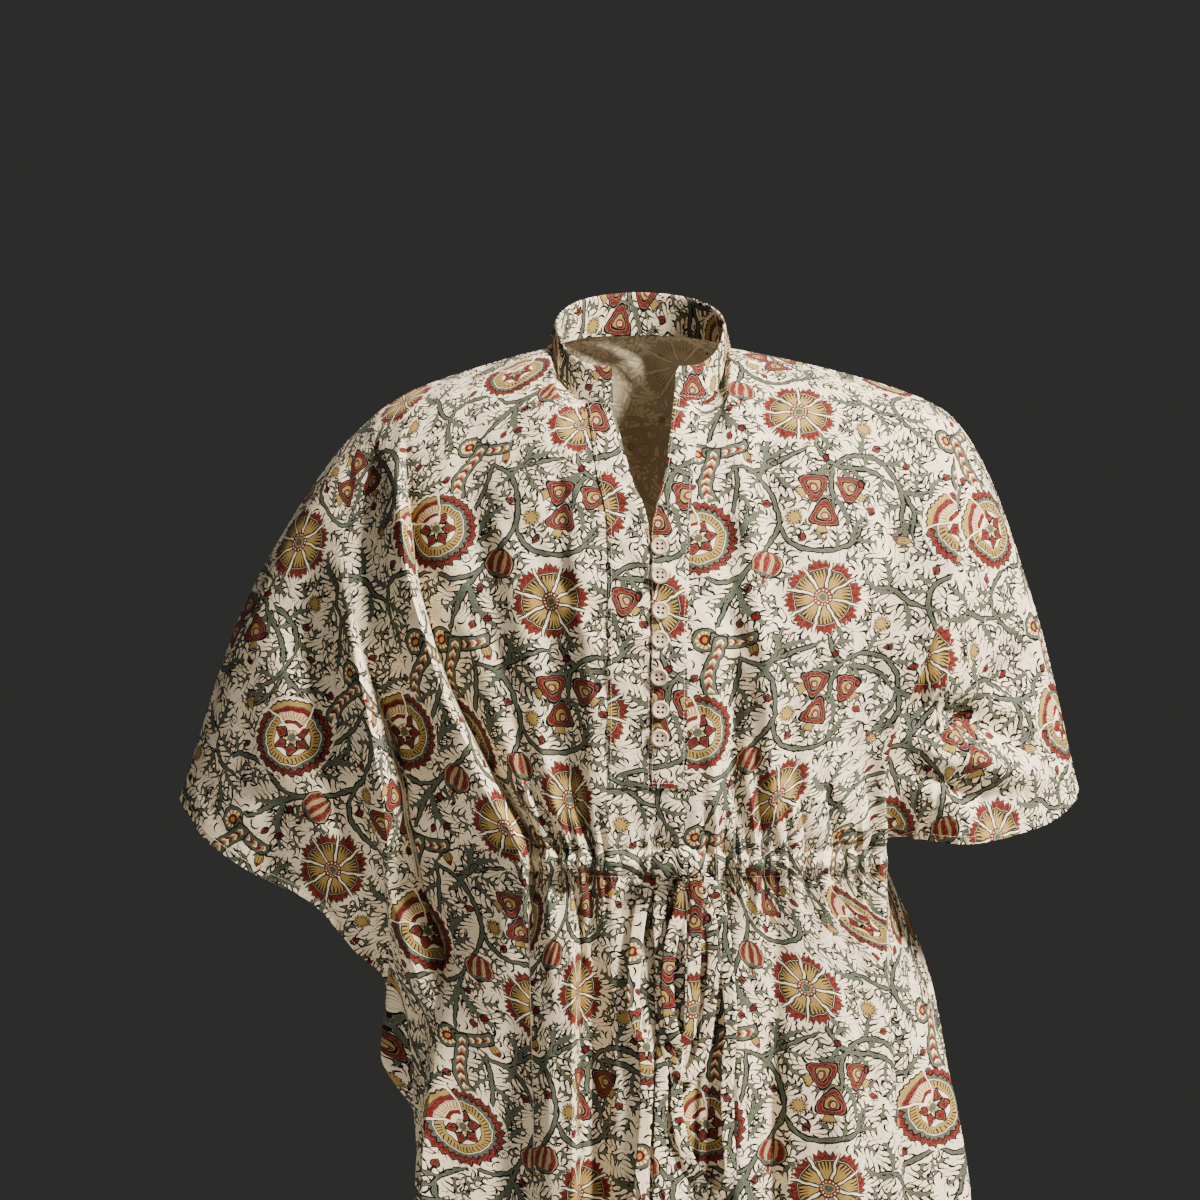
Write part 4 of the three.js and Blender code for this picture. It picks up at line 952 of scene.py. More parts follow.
def draw_fan(x, y, _):
    """A flower of eight fans: ochre with dark strokes, white gaps, and red tips like flames."""
    r, turn = polar(x, y)
    off = to_line(turn, math.pi / 4)
    gap = (math.pi / 8 - off) * r
    petal = over(gap, 1.8)
    petal_edge = between(gap, 0.8, 1.8) * between(r, 7.0, 28.0)
    across = off * r
    stroke = under(to_line(turn, math.pi / 4 / 6) * r, (r - 13.0) * 0.1)
    ochre = between(r, 7.2, 20.6) * petal
    flame = 25.6 + to_line(turn, math.pi / 4 / 5) * 44 + to_line(turn + 0.1, math.pi / 4 / 2) * 6 - off * 8
    tip = r - flame
    red = over(r, 22.4) * under(tip, 0.0) * petal
    dark = most(between(tip, 0.0, 1.2) * petal, most(petal_edge, between(r, 20.6, 21.6) * petal))
    dark = most(dark, stroke * between(r, 14, 20.6) * petal)
    dark = most(dark, between(r, 21.8, 22.5) * petal)
    ring = between(r, 4.2, 6.8)
    dots = under(to_line(turn, math.pi / 7) * r, 0.55) * between(r, 5.0, 6.0)
    red = most(red, ring * (1 - dots))
    dark = most(dark, most(between(r, 6.7, 7.2), between(r, 3.7, 4.2)))
    sage = under(r, 2.9)
    ochre = most(ochre, between(r, 2.9, 3.7))
    return {"ochre": ochre, "sage": sage, "red": red, "dark": dark, "cover": under(tip, 1.6)}


def draw_boteh(x, y, _):
    """A round flower in a crescent: ochre with ticks, sage and red teeth, open at the top round a small fan."""
    r, turn = polar(y, x)
    swirl = times_plus(r, 0.016, turn)
    off = size_of(swirl)
    gap = (off - 0.66) * r
    crescent = over(gap, 0.9)
    fan = under(gap, -0.9)
    lines = most(between(gap, -1.3, -0.8), between(gap, 0.8, 1.3)) * between(r, 12.0, 27.0)
    tick = under(to_line(swirl, 0.145) * r, 0.42)
    ochre = between(r, 14.2, 19.4) * crescent
    rings = most(between(r, 13.5, 14.2), between(r, 19.4, 20.1))
    dark = most(tick * between(r, 15.6, 19.4), rings) * crescent
    teeth = to_line(swirl, 0.21) * 24
    sage_edge = r - 22.0 - teeth
    sage = over(r, 20.7) * under(sage_edge, 0.0) * crescent
    dark = most(dark, between(sage_edge, 0.0, 1.3) * crescent)
    outer = to_line(swirl, 0.24) * 21
    red_edge = r - 26.6 - outer
    red = over(sage_edge, 0.9) * under(red_edge, 0.0) * crescent
    dark = most(dark, between(red_edge, 0.0, 1.3) * crescent)
    hairs = under(times_plus(r - 28.0, 0.08, to_line(times_plus(r, 0.02, turn), 0.17) * r), 0.5)
    hairs = hairs * between(r, 28, 32.5)
    dark = most(dark, hairs * crescent * over(red_edge, 0.3))
    dark = most(dark, lines)
    scallop = r - 27.5 - to_line(turn, 0.17) * 14
    ochre = most(ochre, between(r, 24.6, 40) * under(scallop, 0.0) * fan)
    dark = most(dark, most(between(scallop, 0.0, 1.3), between(r, 24.0, 24.6)) * fan)
    red = most(red, between(r, 20.2, 24.0) * fan)
    ochre = most(ochre, between(r, 14.0, 19.2) * under(to_line(turn, 0.13) * r, 0.75) * fan)
    red = most(red, between(r, 10.2, 13.4) * fan)
    dark = most(dark, between(r, 19.4, 19.9) * fan)
    lobe = to_line(turn + 0.3, math.pi / 3) * r
    petal_edge = size_of(r - 9.2) * 0.75 + lobe * 0.8 - 3.1
    red = most(red, under(petal_edge, 0.0) * over(gap, 0.4))
    dark = most(dark, between(petal_edge, 0.0, 1.3) * over(gap, 0.4))
    gold = size_of(r - 9.2) * 0.6 + (math.pi / 6 - to_line(turn + 0.3, math.pi / 3)) * r * 0.9 - 1.3
    ochre = most(ochre, under(gold, 0.0) * over(petal_edge, 0.5) * over(gap, 0.4))
    dark = most(dark, between(r, 5.4, 6.0) + between(r, 2.5, 3.1))
    ochre = most(ochre, between(r, 3.1, 5.4) * under(to_line(turn, math.pi / 4) * r, 1.1))
    return {"ochre": ochre, "sage": most(sage, under(r, 2.5)), "red": red, "dark": dark, "cover": under(r, 31.5)}


def band_inks(edge, along):
    """Inks of a ribbon: sage rims, and chevrons of red and ochre inside."""
    inside = under(edge, -2.1)
    saw = calc("FRACT", along * (1 / 7.4)) * 7.4
    dark = most(between(edge, 0.0, 1.3), between(edge, -2.1, -1.6))
    sage = between(edge, -1.6, 0.0)
    red = between(saw, 0.4, 3.3) * inside
    ochre = between(saw, 3.9, 5.9) * inside
    dark = most(dark, between(saw, 3.3, 3.9) * inside)
    return {"ochre": ochre, "sage": sage, "red": red, "dark": dark, "cover": under(edge, 1.2)}


def join(over_inks, low_inks):
    """One set of inks printed over another, which it hides where it covers."""
    hidden = 1 - over_inks["cover"]
    joined = {ink: most(over_inks[ink], low_inks[ink] * hidden) for ink in INKS[:-1]}
    return joined | {"cover": most(over_inks["cover"], low_inks["cover"])}


def draw_ribbon(x, y, _):
    """A ribbon leaf: an upright S whose top loops back and crosses it."""
    bow = calc("SINE", y * 0.1) * 4.5
    off = x - bow
    side = size_of(off)
    ends = size_of(y + 6) - 23
    upright = band_inks(calc("SMOOTH_MAX", side - 5.0, ends, 4.0), times_plus(side, 0.9, y))
    drop = times_plus((x - 14) * (x - 14), -0.012, y)
    low = size_of(drop - 12.5)
    reach = size_of(x - 14) - 17
    level = band_inks(calc("SMOOTH_MAX", low - 4.4, reach, 4.0), times_plus(low, 0.9, x))
    ring_r, turn = polar(x + 7.5, y - 15)
    ring = ring_r - 9.0
    loop = {"sage": between(ring, -1.6, 0.0),
            "ochre": under(ring_r, 7.0) * under(to_line(turn, 0.55) * ring_r, 0.9),
            "red": between(ring_r, 2.0, 4.2),
            "dark": most(between(ring, 0.0, 1.3), between(ring, -2.1, -1.6)),
            "cover": under(ring, 1.0)}
    return join(upright, join(level, loop))


def draw_bell(x, y, _):
    """A rounded three-cornered bell: a red line round ochre, a small ring inside and a ticked foot."""
    side = root(times_plus(x, x, 14.0))
    edge = calc("SMOOTH_MAX", side * 0.9 + y * 0.48 - 9.0, -1 * y - 8.0, 12.0)
    r, _ = polar(x - 0.8, y + 1.2)
    red = most(between(edge, -2.3, -0.3), between(r, 1.7, 3.1))
    ochre = under(edge, -2.7) * over(r, 3.7) + under(r, 1.4)
    dark = most(between(edge, -0.3, 0.8), most(between(edge, -3.1, -2.3), between(r, 3.1, 3.7)))
    down = -1 * y
    foot = calc("MAXIMUM", size_of(x + 1.0) - times_plus(down, 0.4, -1.2), size_of(down - 11.2) - 2.6)
    ochre = most(ochre, under(foot, 0.0))
    tick = under(to_line(x, 2.2), 0.35) * between(down, 13.0, 15.0) * under(size_of(x + 1.0), 4.4)
    dark = most(dark, most(between(foot, 0.0, 0.9), tick))
    return {"ochre": ochre, "red": red, "dark": dark, "cover": under(least(edge, foot), 0.8)}


def draw_pomegranate(x, y, _):
    """A round fruit in stripes, with a crown of small red points."""
    flat = y * (1 / 10.6)
    bulge = root(most(1 - flat * flat * 0.93, 0.05))
    across = x / bulge
    edge = (size_of(across) - 12.0) * bulge
    ends = size_of(y) - 10.4
    edge = most(edge, ends)
    fill = under(edge, -0.4)
    place = to_line(across, 8.0)
    red = under(size_of(place - 1.0), 1.1) * fill
    ochre = under(size_of(place - 3.6), 0.55) * fill
    dark = most(between(edge, -0.5, 0.75), under(size_of(place - 2.5), 0.34) * fill)
    sage = under(y, -6.8) * fill
    down = -1 * y
    crown = most(size_of(x) - (down - 9.0) * 0.85, down - 16.0 + to_line(x, 4.4) * 1.3)
    crown = most(crown, 9.6 - down)
    dark = most(dark, between(crown, -0.5, 0.5))
    red = most(red * (1 - sage), under(crown, -0.5) * under(to_line(x, 4.4), 1.3))
    ochre = most(ochre * (1 - sage), under(crown, -0.5) * over(to_line(x, 4.4), 1.5))
    return {"ochre": ochre, "sage": sage, "red": red, "dark": dark, "cover": under(least(edge, crown), 0.6)}


def draw_burr(x, y, _):
    """A small ochre flower with dark spikes."""
    r, turn = polar(x, y)
    edge = r - 3.0 - to_line(turn, 0.57) * 11.0
    hairs = under(to_line(turn, 0.57) * r, 0.3) * between(r, 3.6, 7.0)
    return {"ochre": under(edge, 0.0), "dark": most(between(edge, 0.0, 1.2), hairs), "cover": under(edge, 0.4)}


def draw_bud(x, y, _):
    """A red bud on a short dark stalk."""
    half = 1.9 - (x * x) * 0.16
    edge = size_of(y) - half
    stalk = under(size_of(y - 0.05 * x * x), 0.32) * between(x, -6.2, -3.2)
    return {"red": under(edge, 0.0), "dark": most(between(edge, 0.0, 1.2) * under(size_of(x), 4.2), stalk)}


def draw_curl(x, y, _):
    """A tendril: a dark spiral that ends in a point."""
    r, turn = polar(x, y)
    line = size_of(r - 2.3 - (turn + math.pi) * 0.42)
    dark = under(line, 0.42)
    leaf = size_of(y) * 1.6 + size_of(x)
    return {"dark": dark * under(r, 5.2), "sage": under(leaf, 1.2)}


def draw_tulip(x, y, _):
    """An ochre bud with a red tip and dark strokes."""
    half = 3.1 - (x + 1) * (x + 1) * 0.075
    edge = size_of(y) - half
    fill = under(edge, -0.2)
    tip = over(x, 2.2)
    stroke = under(to_line(y + x * 0.1, 2.0), 0.24) * between(x, -3.0, 1.6)
    dark = most(between(edge, -0.2, 0.7) * under(size_of(x + 1), 7.5), stroke * fill)
    dark = most(dark, between(x, 1.8, 2.3) * fill)
    return {"ochre": fill * (1 - tip), "red": fill * tip, "dark": dark, "cover": under(edge, 0.5)}


FIGURE_GROUPS = [motif_group("fan flower", draw_fan, FAN), motif_group("crescent flower", draw_boteh, BOTEH),
                 motif_group("ribbon leaf", draw_ribbon, RIBBON)]
FRUIT_GROUPS = [motif_group(name, draw, kind) for name, draw, kind in (
    ("bell", draw_bell, BELL), ("pomegranate", draw_pomegranate, POMEGRANATE), ("burr", draw_burr, BURR),
    ("bud", draw_bud, BUD), ("curl", draw_curl, CURL), ("tulip", draw_tulip, TULIP))]
LEAF_GROUP = motif_group("leaf", draw_leaf)
VINE_GROUP = motif_group("vine", draw_vine)
GROUPS = {"figure": FIGURE_GROUPS, "fruit": FRUIT_GROUPS, "leaf": [LEAF_GROUP], "vine": [VINE_GROUP]}

STRAY = 1.7  # how far the motifs' edges stray, in mm
COMMA_CELL = 11.5  # the cells of the ground that take one comma each, in mm
WEAVE = 0.25  # strength of the weave's bump
CREAM = (0.78, 0.66, 0.46)
COLOURS = {"ochre": (0.29, 0.185, 0.045), "sage": (0.052, 0.067, 0.046), "red": (0.098, 0.0015, 0.0015),
           "dark": (0.002, 0.0025, 0.0025)}


def attribute(tree, name):
    node = tree.nodes.new("ShaderNodeAttribute")
    node.attribute_name = name
    return node.outputs["Vector"]


def noise(tree, place, scale, detail):
    node = tree.nodes.new("ShaderNodeTexNoise")
    node.inputs["Scale"].default_value = scale
    node.inputs["Detail"].default_value = detail
    tree.links.new(place, node.inputs["Vector"])
    return Wire(tree, node.outputs[0])


def blended(tree, low, high, share):
    """The colour low with high over it; each is a colour or a socket."""
    node = tree.nodes.new("ShaderNodeMix")
    node.data_type = "RGBA"
    tree.links.new(share.socket, node.inputs["Factor"])
    for socket, colour in ((node.inputs[6], low), (node.inputs[7], high)):
        if isinstance(colour, tuple):
            socket.default_value = (*colour, 1)
        else:
            tree.links.new(colour, socket)
    return node.outputs[2]


def vector_sum(tree, kind, *vectors):
    """Vectors added, or the first times the second plus the third; each is numbers or a socket."""
    node = tree.nodes.new("ShaderNodeVectorMath")
    node.operation = kind
    for socket, vector in zip(node.inputs, vectors):
        if isinstance(vector, tuple):
            socket.default_value = vector
        else:
            tree.links.new(vector, socket)
    return node.outputs["Vector"]


def hand_cut(tree, flat):
    """How far the edges of the block's motifs stray, in the cloth's millimetres."""
    node = tree.nodes.new("ShaderNodeTexNoise")
    node.inputs["Scale"].default_value = 0.16
    node.inputs["Detail"].default_value = 1.0
    tree.links.new(flat, node.inputs["Vector"])
    twice, back = (2 * STRAY, 2 * STRAY, 0), (-STRAY, -STRAY, 0)
    return vector_sum(tree, "MULTIPLY_ADD", node.outputs["Color"], twice, back)


def commas(tree, flat):
    """Dark commas strewn over the ground, one to a cell, each turned its own way."""
    node = tree.nodes.new("ShaderNodeTexVoronoi")
    node.inputs["Scale"].default_value = 1 / COMMA_CELL
    node.inputs["Randomness"].default_value = 0.75
    tree.links.new(flat, node.inputs["Vector"])
    middle = vector_sum(tree, "SUBTRACT", flat, node.outputs["Position"])
    dx, dy, _ = vector_parts(tree, middle)
    turn = vector_parts(tree, node.outputs["Color"])[0] * (2 * math.pi)
    c, s = calc("COSINE", turn), calc("SINE", turn)
    x, y = dx * c + dy * s, dy * c - dx * s
    stroke = size_of(times_plus(x * x, -0.14, y)) + x * 0.09
    return under(stroke, 0.68) * between(x, -3.6, 3.8)


def layer_inks(tree, prefix, stray):
    """The strongest of each ink over the layers whose names start with a word."""
    sums = {}
    for name in (n for n in LAYERS if n.startswith(prefix)):
        place = vector_sum(tree, "ADD", attribute(tree, name), stray)
        groups = GROUPS[prefix]
        if len(groups) > 1:
            groups = [g for kind, g in enumerate(groups, 1) if kind in LAYERS[name].third]
        for group in groups:
            node = tree.nodes.new("ShaderNodeGroup")
            node.node_tree = group
            tree.links.new(place, node.inputs[0])
            for ink in INKS:
                socket = next(n for n in group.nodes if n.bl_idname == "NodeGroupOutput").inputs[ink]
                if socket.is_linked:
                    value = Wire(tree, node.outputs[ink])
                    sums[ink] = most(sums[ink], value) if ink in sums else value
    return sums


def new_material(name):
    """A material with its node tree and shader."""
    material = bpy.data.materials.new(name)
    material.use_nodes = True
    return material, material.node_tree, material.node_tree.nodes["Principled BSDF"]


def add_bump(tree, shader, height, strength, distance):
    bump = tree.nodes.new("ShaderNodeBump")
    bump.inputs["Strength"].default_value = strength
    bump.inputs["Distance"].default_value = distance
    tree.links.new(height.socket, bump.inputs["Height"])
    tree.links.new(bump.outputs[0], shader.inputs["Normal"])


def printed_cotton(name, strength=1.0):
    """Cream cotton with the print; strength under 1 is the cloth's paler reverse."""
    material, tree, shader = new_material(name)
    flat = attribute(tree, "flat")
    stray = hand_cut(tree, flat)
    low = layer_inks(tree, "leaf", stray)
    for ink, value in layer_inks(tree, "vine", stray).items():
        low[ink] = most(low[ink], value)
    high = layer_inks(tree, "fruit", stray)
    for ink, value in layer_inks(tree, "figure", stray).items():
        high[ink] = most(high[ink], value)
    bare = 1 - high["cover"]
    patchy = noise(tree, flat, 0.55, 2.0)
    low["dark"] = most(low["dark"], commas(tree, flat)) * (1 - low["sage"])
    wear = least(times_plus(patchy, 0.22, 0.87), 1.0) * strength
    grain = noise(tree, flat, 0.045, 3.0)
    u, v, _ = vector_parts(tree, flat)
    threads = calc("SINE", u * 9.5) * 0.5 + calc("SINE", v * 11.0) * 0.5
    slub = noise(tree, flat, 1.6, 1.0)
    colour = blended(tree, CREAM, tuple(0.86 * c for c in CREAM), step_from(grain, 0.3, 0.9))
    for ink in ("ochre", "sage", "red", "dark"):
        share = high[ink]
        if ink in low:
            share = most(low[ink] * bare, share)
        colour = blended(tree, colour, COLOURS[ink], share * (strength if ink == "dark" else wear))
    tree.links.new(colour, shader.inputs["Base Color"])
    add_bump(tree, shader, times_plus(threads, 0.25, slub), WEAVE, 0.0006)
    shader.inputs["Roughness"].default_value = 0.82
    shader.inputs["Specular IOR Level"].default_value = 0.12
    return material


def plain_material(name, colour, roughness, sheen=0.0, grain=0.0, grain_scale=60.0, stretch=(1, 1, 1)):
    """A colour with a stretched grain in it and in the bump."""
    material, tree, shader = new_material(name)
    place = tree.nodes.new("ShaderNodeTexCoord")
    mapping = tree.nodes.new("ShaderNodeMapping")
    mapping.inputs["Scale"].default_value = stretch
    tree.links.new(place.outputs["Object"], mapping.inputs["Vector"])
    value = noise(tree, mapping.outputs[0], grain_scale, 3.0)
    dark = tuple((1 - grain) * c for c in colour)
    tree.links.new(blended(tree, colour, dark, value), shader.inputs["Base Color"])
    add_bump(tree, shader, value, 0.2, 0.0003)
    shader.inputs["Roughness"].default_value = roughness
    shader.inputs["Sheen Weight"].default_value = sheen
    return material


OUTSIDE = printed_cotton("printed cotton")
INSIDE = printed_cotton("printed cotton reverse", strength=0.42)
THREAD = plain_material("sewing thread", (0.62, 0.55, 0.44), 0.7, sheen=0.2, grain=0.3, grain_scale=900)
# Painted shade: a near-black colour for the walls and floors of the buttons' holes, standing for the shadow round
# the thread in them.
HOLE_PAINTED_SHADE = plain_material("button hole painted shade", (0.012, 0.008, 0.006), 0.9, grain=0.3, grain_scale=400)
WOOD = plain_material("button wood", (0.60, 0.46, 0.30), 0.42, grain=0.35, grain_scale=260, stretch=(1, 1, 6))


# ---------- the panels laid flat ----------
# The sleeves' cloth turns away from the body's at three pleats, which hide the wedges between. Columns: fall line,
# row where the wedge starts, turn in degrees, side, and the rows over which the turn fades out.
WEDGES = [
    (PLEAT_L, 1.2, 12, -1, (5.6, 8.4)), (FOLD_L, 2.6, 45, -1, (6.0, 6.02)), (FOLD_R, 1.6, 40, 1, (6.0, 6.02))]


def turned_at_pleats(grid, rows, lines):
    for line, row, degrees, side, (fade, gone) in WEDGES:
        apex = grid[np.abs(rows - row).argmin(), np.abs(lines - line).argmin()]
        away = grid - apex
        angle = np.degrees(np.arctan2(away[..., 1], side * away[..., 0]))
        angle = np.where(angle < -90, angle + 360, angle)
        above = 1 - smooth((angle - 10) / 160)
        beyond = side * (lines - line - CREVICE)[None] > 0
        weight = np.where(rows[:, None] > row, beyond, above)
        weight = weight * (1 - smooth((rows - fade) / (gone - fade)))[:, None]
        turn = -side * np.radians(degrees) * weight
        x, y = away[..., 0], away[..., 1]
        grid = apex + np.stack([x * np.cos(turn) - y * np.sin(turn), x * np.sin(turn) + y * np.cos(turn)], -1)
    return grid


def coarse(values, keep=()):
    return np.unique(np.concatenate([values[::3], np.arange(values[-1] + 1), np.asarray(keep, float)]))


def cells(rows, lines, slit):
    """Which cells of a grid are cloth: the slit's are not."""
    inside = (lines[:-1] >= SLIT_L) & (lines[1:] <= SLIT_R) if slit else np.zeros(len(lines) - 1, bool)
    return ~((rows[1:] <= SLIT_END)[:, None] & inside[None])


def laid_flat(panel, rows, lines, slit, anchor):
    """The panel's cut, as flat places of a grid of rows and lines.

    The print stands upright on the chest, and its block starts at anchor, in X and Z.
    """
    rows = coarse(rows, [CASING + 0.02] if slit else ())
    lines = coarse(lines, [line + step for line in (2, 3, 3.62, 12) for step in NEAR_PLEAT] if slit else ())
    cloth = Cloth(panel, rows, lines, fine=False)
    points = cloth.points.reshape(-1, 3)
    faces = quads(len(rows), len(lines), cells(rows, lines, slit))
    mesh = bpy.data.meshes.new("cut")
    mesh.from_pydata((points * MM).tolist(), [], faces.tolist())
    cut = bpy.data.objects.new("cut", mesh)
    bpy.context.scene.collection.objects.link(cut)
    bpy.context.view_layer.objects.active = cut
    cut.select_set(True)
    bpy.ops.object.mode_set(mode="EDIT")
    bpy.ops.mesh.select_all(action="SELECT")
    bpy.ops.uv.unwrap(method="MINIMUM_STRETCH", fill_holes=False, margin=0.0, iterations=12, no_flip=False)
    bpy.ops.object.mode_set(mode="OBJECT")
    corner = np.empty(len(mesh.loops) * 2, np.float32)
    mesh.uv_layers.active.data.foreach_get("uv", corner)
    owner = np.empty(len(mesh.loops), np.int32)
    mesh.loops.foreach_get("vertex_index", owner)
    flat = np.zeros((len(points), 2))
    flat[owner] = corner.reshape(-1, 2)
    bpy.data.objects.remove(cut)
    bpy.data.meshes.remove(mesh)
    # Real size, from the areas.
    a, b, c, d = (points[faces[:, k]] for k in range(4))
    real = 0.5 * np.linalg.norm(np.cross(c - a, d - b), axis=1).sum()
    a, b, c, d = (flat[faces[:, k]] for k in range(4))
    small = 0.5 * abs(((c - a)[:, 0] * (d - b)[:, 1] - (c - a)[:, 1] * (d - b)[:, 0]).sum())
    flat *= math.sqrt(real / small)
    # Turned so that the chest's print is upright and reads from outside.
    grid = flat.reshape(len(rows), len(lines), 2)
    chest = ((rows >= 2.5) & (rows <= 5))[:, None] & ((lines >= 4) & (lines <= 11))[None]
    from_ = grid[chest] - grid[chest].mean(0)
    to = cloth.points[chest][:, [0, 2]] * [-panel.facing, 1]
    to = to - to.mean(0)
    u, _, v = np.linalg.svd(from_.T @ to)
    grid = grid @ (u @ v)
    away = np.hypot(cloth.points[..., 0] - anchor[0], cloth.points[..., 2] - anchor[1])
    near = np.exp(-((away / 12.0) ** 2))[..., None]
    at = (grid * near).sum((0, 1)) / near.sum()
    offset = (cloth.points[..., [0, 2]] * near).sum((0, 1)) / near.sum() - anchor
    grid = grid - at + offset * [-panel.facing, 1]
    if slit:
        grid = turned_at_pleats(grid, rows, lines)
    return rows, lines, grid


def flat_at(cut, rows, lines):
    """Flat places at a finer grid."""
    cut_rows, cut_lines, grid = cut
    i = np.clip(np.searchsorted(cut_rows, rows, "right") - 1, 0, len(cut_rows) - 2)
    a = ((rows - cut_rows[i]) / (cut_rows[i + 1] - cut_rows[i]))[:, None, None]
    j = np.clip(np.searchsorted(cut_lines, lines, "right") - 1, 0, len(cut_lines) - 2)
    b = ((lines - cut_lines[j]) / (cut_lines[j + 1] - cut_lines[j]))[None, :, None]
    low, high = grid[i], grid[i + 1]
    return mix(mix(low[:, j], low[:, j + 1], b), mix(high[:, j], high[:, j + 1], b), a)


def cut_size(flat, faces):
    """Width and length of the cut in metres, and its area."""
    used = flat.reshape(-1, 2)[np.unique(faces)]
    width, length = (used.max(0) - used.min(0)) * MM
    a, b, c, d = (flat.reshape(-1, 2)[faces[:, k]] for k in range(4))
    area = 0.5 * abs(((c - a)[:, 0] * (d - b)[:, 1] - (c - a)[:, 1] * (d - b)[:, 0]).sum()) * MM**2
    return (float(width), float(length)), float(area)


# ---------- the camera ----------
# It looks at the chest from a little above, and the frame is 0.9 m wide at the garment.
CAMERA_AT = Vector((-0.030, -0.100, -0.186))
CAMERA_FAR, CAMERA_RISE = 3.2, math.radians(3.5)
lens = bpy.data.cameras.new("camera")
lens.lens, lens.sensor_width = 128.0, 36.0
camera = bpy.data.objects.new("camera", lens)
bpy.context.scene.collection.objects.link(camera)
camera.location = CAMERA_AT + CAMERA_FAR * Vector((0, -math.cos(CAMERA_RISE), math.sin(CAMERA_RISE)))
camera.rotation_euler = (math.pi / 2 - CAMERA_RISE, 0, 0)
bpy.context.scene.camera = camera


# ---------- the drawstring ----------
# Each stretch is a flat tie: its points in X and Z, how far it lies before the cloth, and where it ends.
KNOT_X, KNOT_Z, KNOT_WIDTH, KNOT_HEIGHT, KNOT_DEPTH, KNOT_GAP = 27.0, -380.0, 40.0, 27.0, 14.0, 0.6
TIES = [
    ("loop_front", "tie_loop_front", 12.6, "object", [
        (33, -394), (31, -411), (25, -431), (20.5, -460), (20.5, -479), (25, -509), (30, -515), (36, -509),
        (39, -493), (40, -460), (41, -430), (42, -407), (41, -391.8)]),
    ("loop_middle", "tie_loop_middle", 8, "object", [
        (17, -392.2), (14.5, -424), (16.5, -460), (18, -497), (22, -525), (27, -536), (36, -540), (44, -531),
        (49, -512), (53, -478), (55.5, -450), (51, -420), (39, -391.5)]),
    ("loop_long", "tie_loop_long", 3.6, "object", [
        (43, -389.5), (55, -401), (61, -424), (65, -460), (67.5, -497), (66, -524), (65, -551), (66, -587),
        (67, -612), (60, -628), (52, -628), (43, -614), (35, -600), (29, -578), (27, -552), (28, -520), (29, -470),
        (30, -420), (30, -394)]),
    ("end_left", "tie_end_left", 3.6, "bare", [
        (9.5, -389), (1, -415), (-4, -455), (-4.5, -488), (1, -510), (4.5, -532), (4.5, -560), (2, -598),
        (-2, -640), (-4, -690), (-3, -735)]),
    ("end_right", "tie_end_right", 3.6, "bare", [
        (19.5, -393), (16.5, -430), (16, -480), (17, -520), (16, -545), (15, -578), (13.5, -636), (12, -680),
        (13, -716)])]

FRONT_CLOTH = Cloth(FRONT, FRONT_ROWS, FRONT_LINES)
BACK_CLOTH = Cloth(BACK, BACK_ROWS, BACK_LINES)


def placed_on(x, z):
    """Rows and fall lines of the front at places near its middle."""
    x, z = np.atleast_1d(np.asarray(x, float)), np.atleast_1d(np.asarray(z, float))
    rows = solve(lambda r: -FRONT.points(r, np.array([float(SLIT_R)]))[:, 0, 2], -z, SHOULDER, HEM)
    made = FRONT.frame(rows)
    lines = solve(lambda l: FRONT.at(made, l[:, None])[:, 0, 0], x, PLEAT_L, FOLD_R)
    return rows, lines


def cloth_out(x, z, half):
    """How far the front stands out over a width round each place."""
    x, z = np.asarray(x, float), np.asarray(z, float)
    shares = (-1, -0.5, 0, 0.5, 1)
    return np.max([-FRONT_CLOTH.place(*placed_on(x + share * half, z))[0][:, 1] for share in shares], axis=0)


def spline(points, step):
    """Points at even steps along a centripetal curve through points."""
    points = np.asarray(points, float)
    padded = np.concatenate([[2 * points[0] - points[1]], points, [2 * points[-1] - points[-2]]])
    made = []
    for p in zip(padded, padded[1:], padded[2:], padded[3:]):
        t = np.concatenate([[0], np.cumsum([np.linalg.norm(b - a) ** 0.5 for a, b in zip(p, p[1:])])])
        s = np.linspace(t[1], t[2], 24, endpoint=False)[:, None]
        a = [(p[k] * (t[k + 1] - s) + p[k + 1] * (s - t[k])) / (t[k + 1] - t[k]) for k in range(3)]
        b = [(a[k] * (t[k + 2] - s) + a[k + 1] * (s - t[k])) / (t[k + 2] - t[k]) for k in range(2)]
        made.append((b[0] * (t[2] - s) + b[1] * (s - t[1])) / (t[2] - t[1]))
    fine = np.concatenate(made + [points[-1:]])
    run = run_along(fine)
    return at_run(np.linspace(0, run[-1], max(2, round(run[-1] / step)) + 1), run, fine)


def band_section(width, thick, count=5):
    """Places round a flat section with round edges, as shares across and out."""
    half, reach = width / 2 - thick / 2, np.linspace(-1, 1, count)
    turn = np.radians([45, 0, -45])
    top = [(half * r, thick / 2) for r in reach]
    right = [(half + thick / 2 * math.cos(t), thick / 2 * math.sin(t)) for t in turn]
    low = [(half * r, -thick / 2) for r in reach[::-1]]
    left = [(-half - thick / 2 * math.cos(t), -thick / 2 * math.sin(t)) for t in turn]
    return np.array(top + right + low + left)


def swept(path, across, out, section):
    """Points and four-cornered faces of a section swept along a path, with a flat place for each point."""
    rings = (path[:, None] + across[:, None] * section[None, :, :1] + out[:, None] * section[None, :, 1:])
    count, sides = len(path), len(section)
    faces = np.concatenate([np.roll(tube_faces(count, sides), -1, axis=1), cap_faces(0, sides),
                            cap_faces((count - 1) * sides, sides)[:, ::-1]])
    run = run_along(path)
    flat = np.stack(np.broadcast_arrays(section[None, :, 0], -run[:, None]), -1)
    return rings.reshape(-1, 3), faces, flat.reshape(-1, 2), float(run[-1])


TIE_SECTION = band_section(TIE_WIDTH, TIE_THICK)
KNOT_OUT = float(cloth_out([KNOT_X], [KNOT_Z], KNOT_WIDTH / 4)[0]) + KNOT_DEPTH / 2 + KNOT_GAP


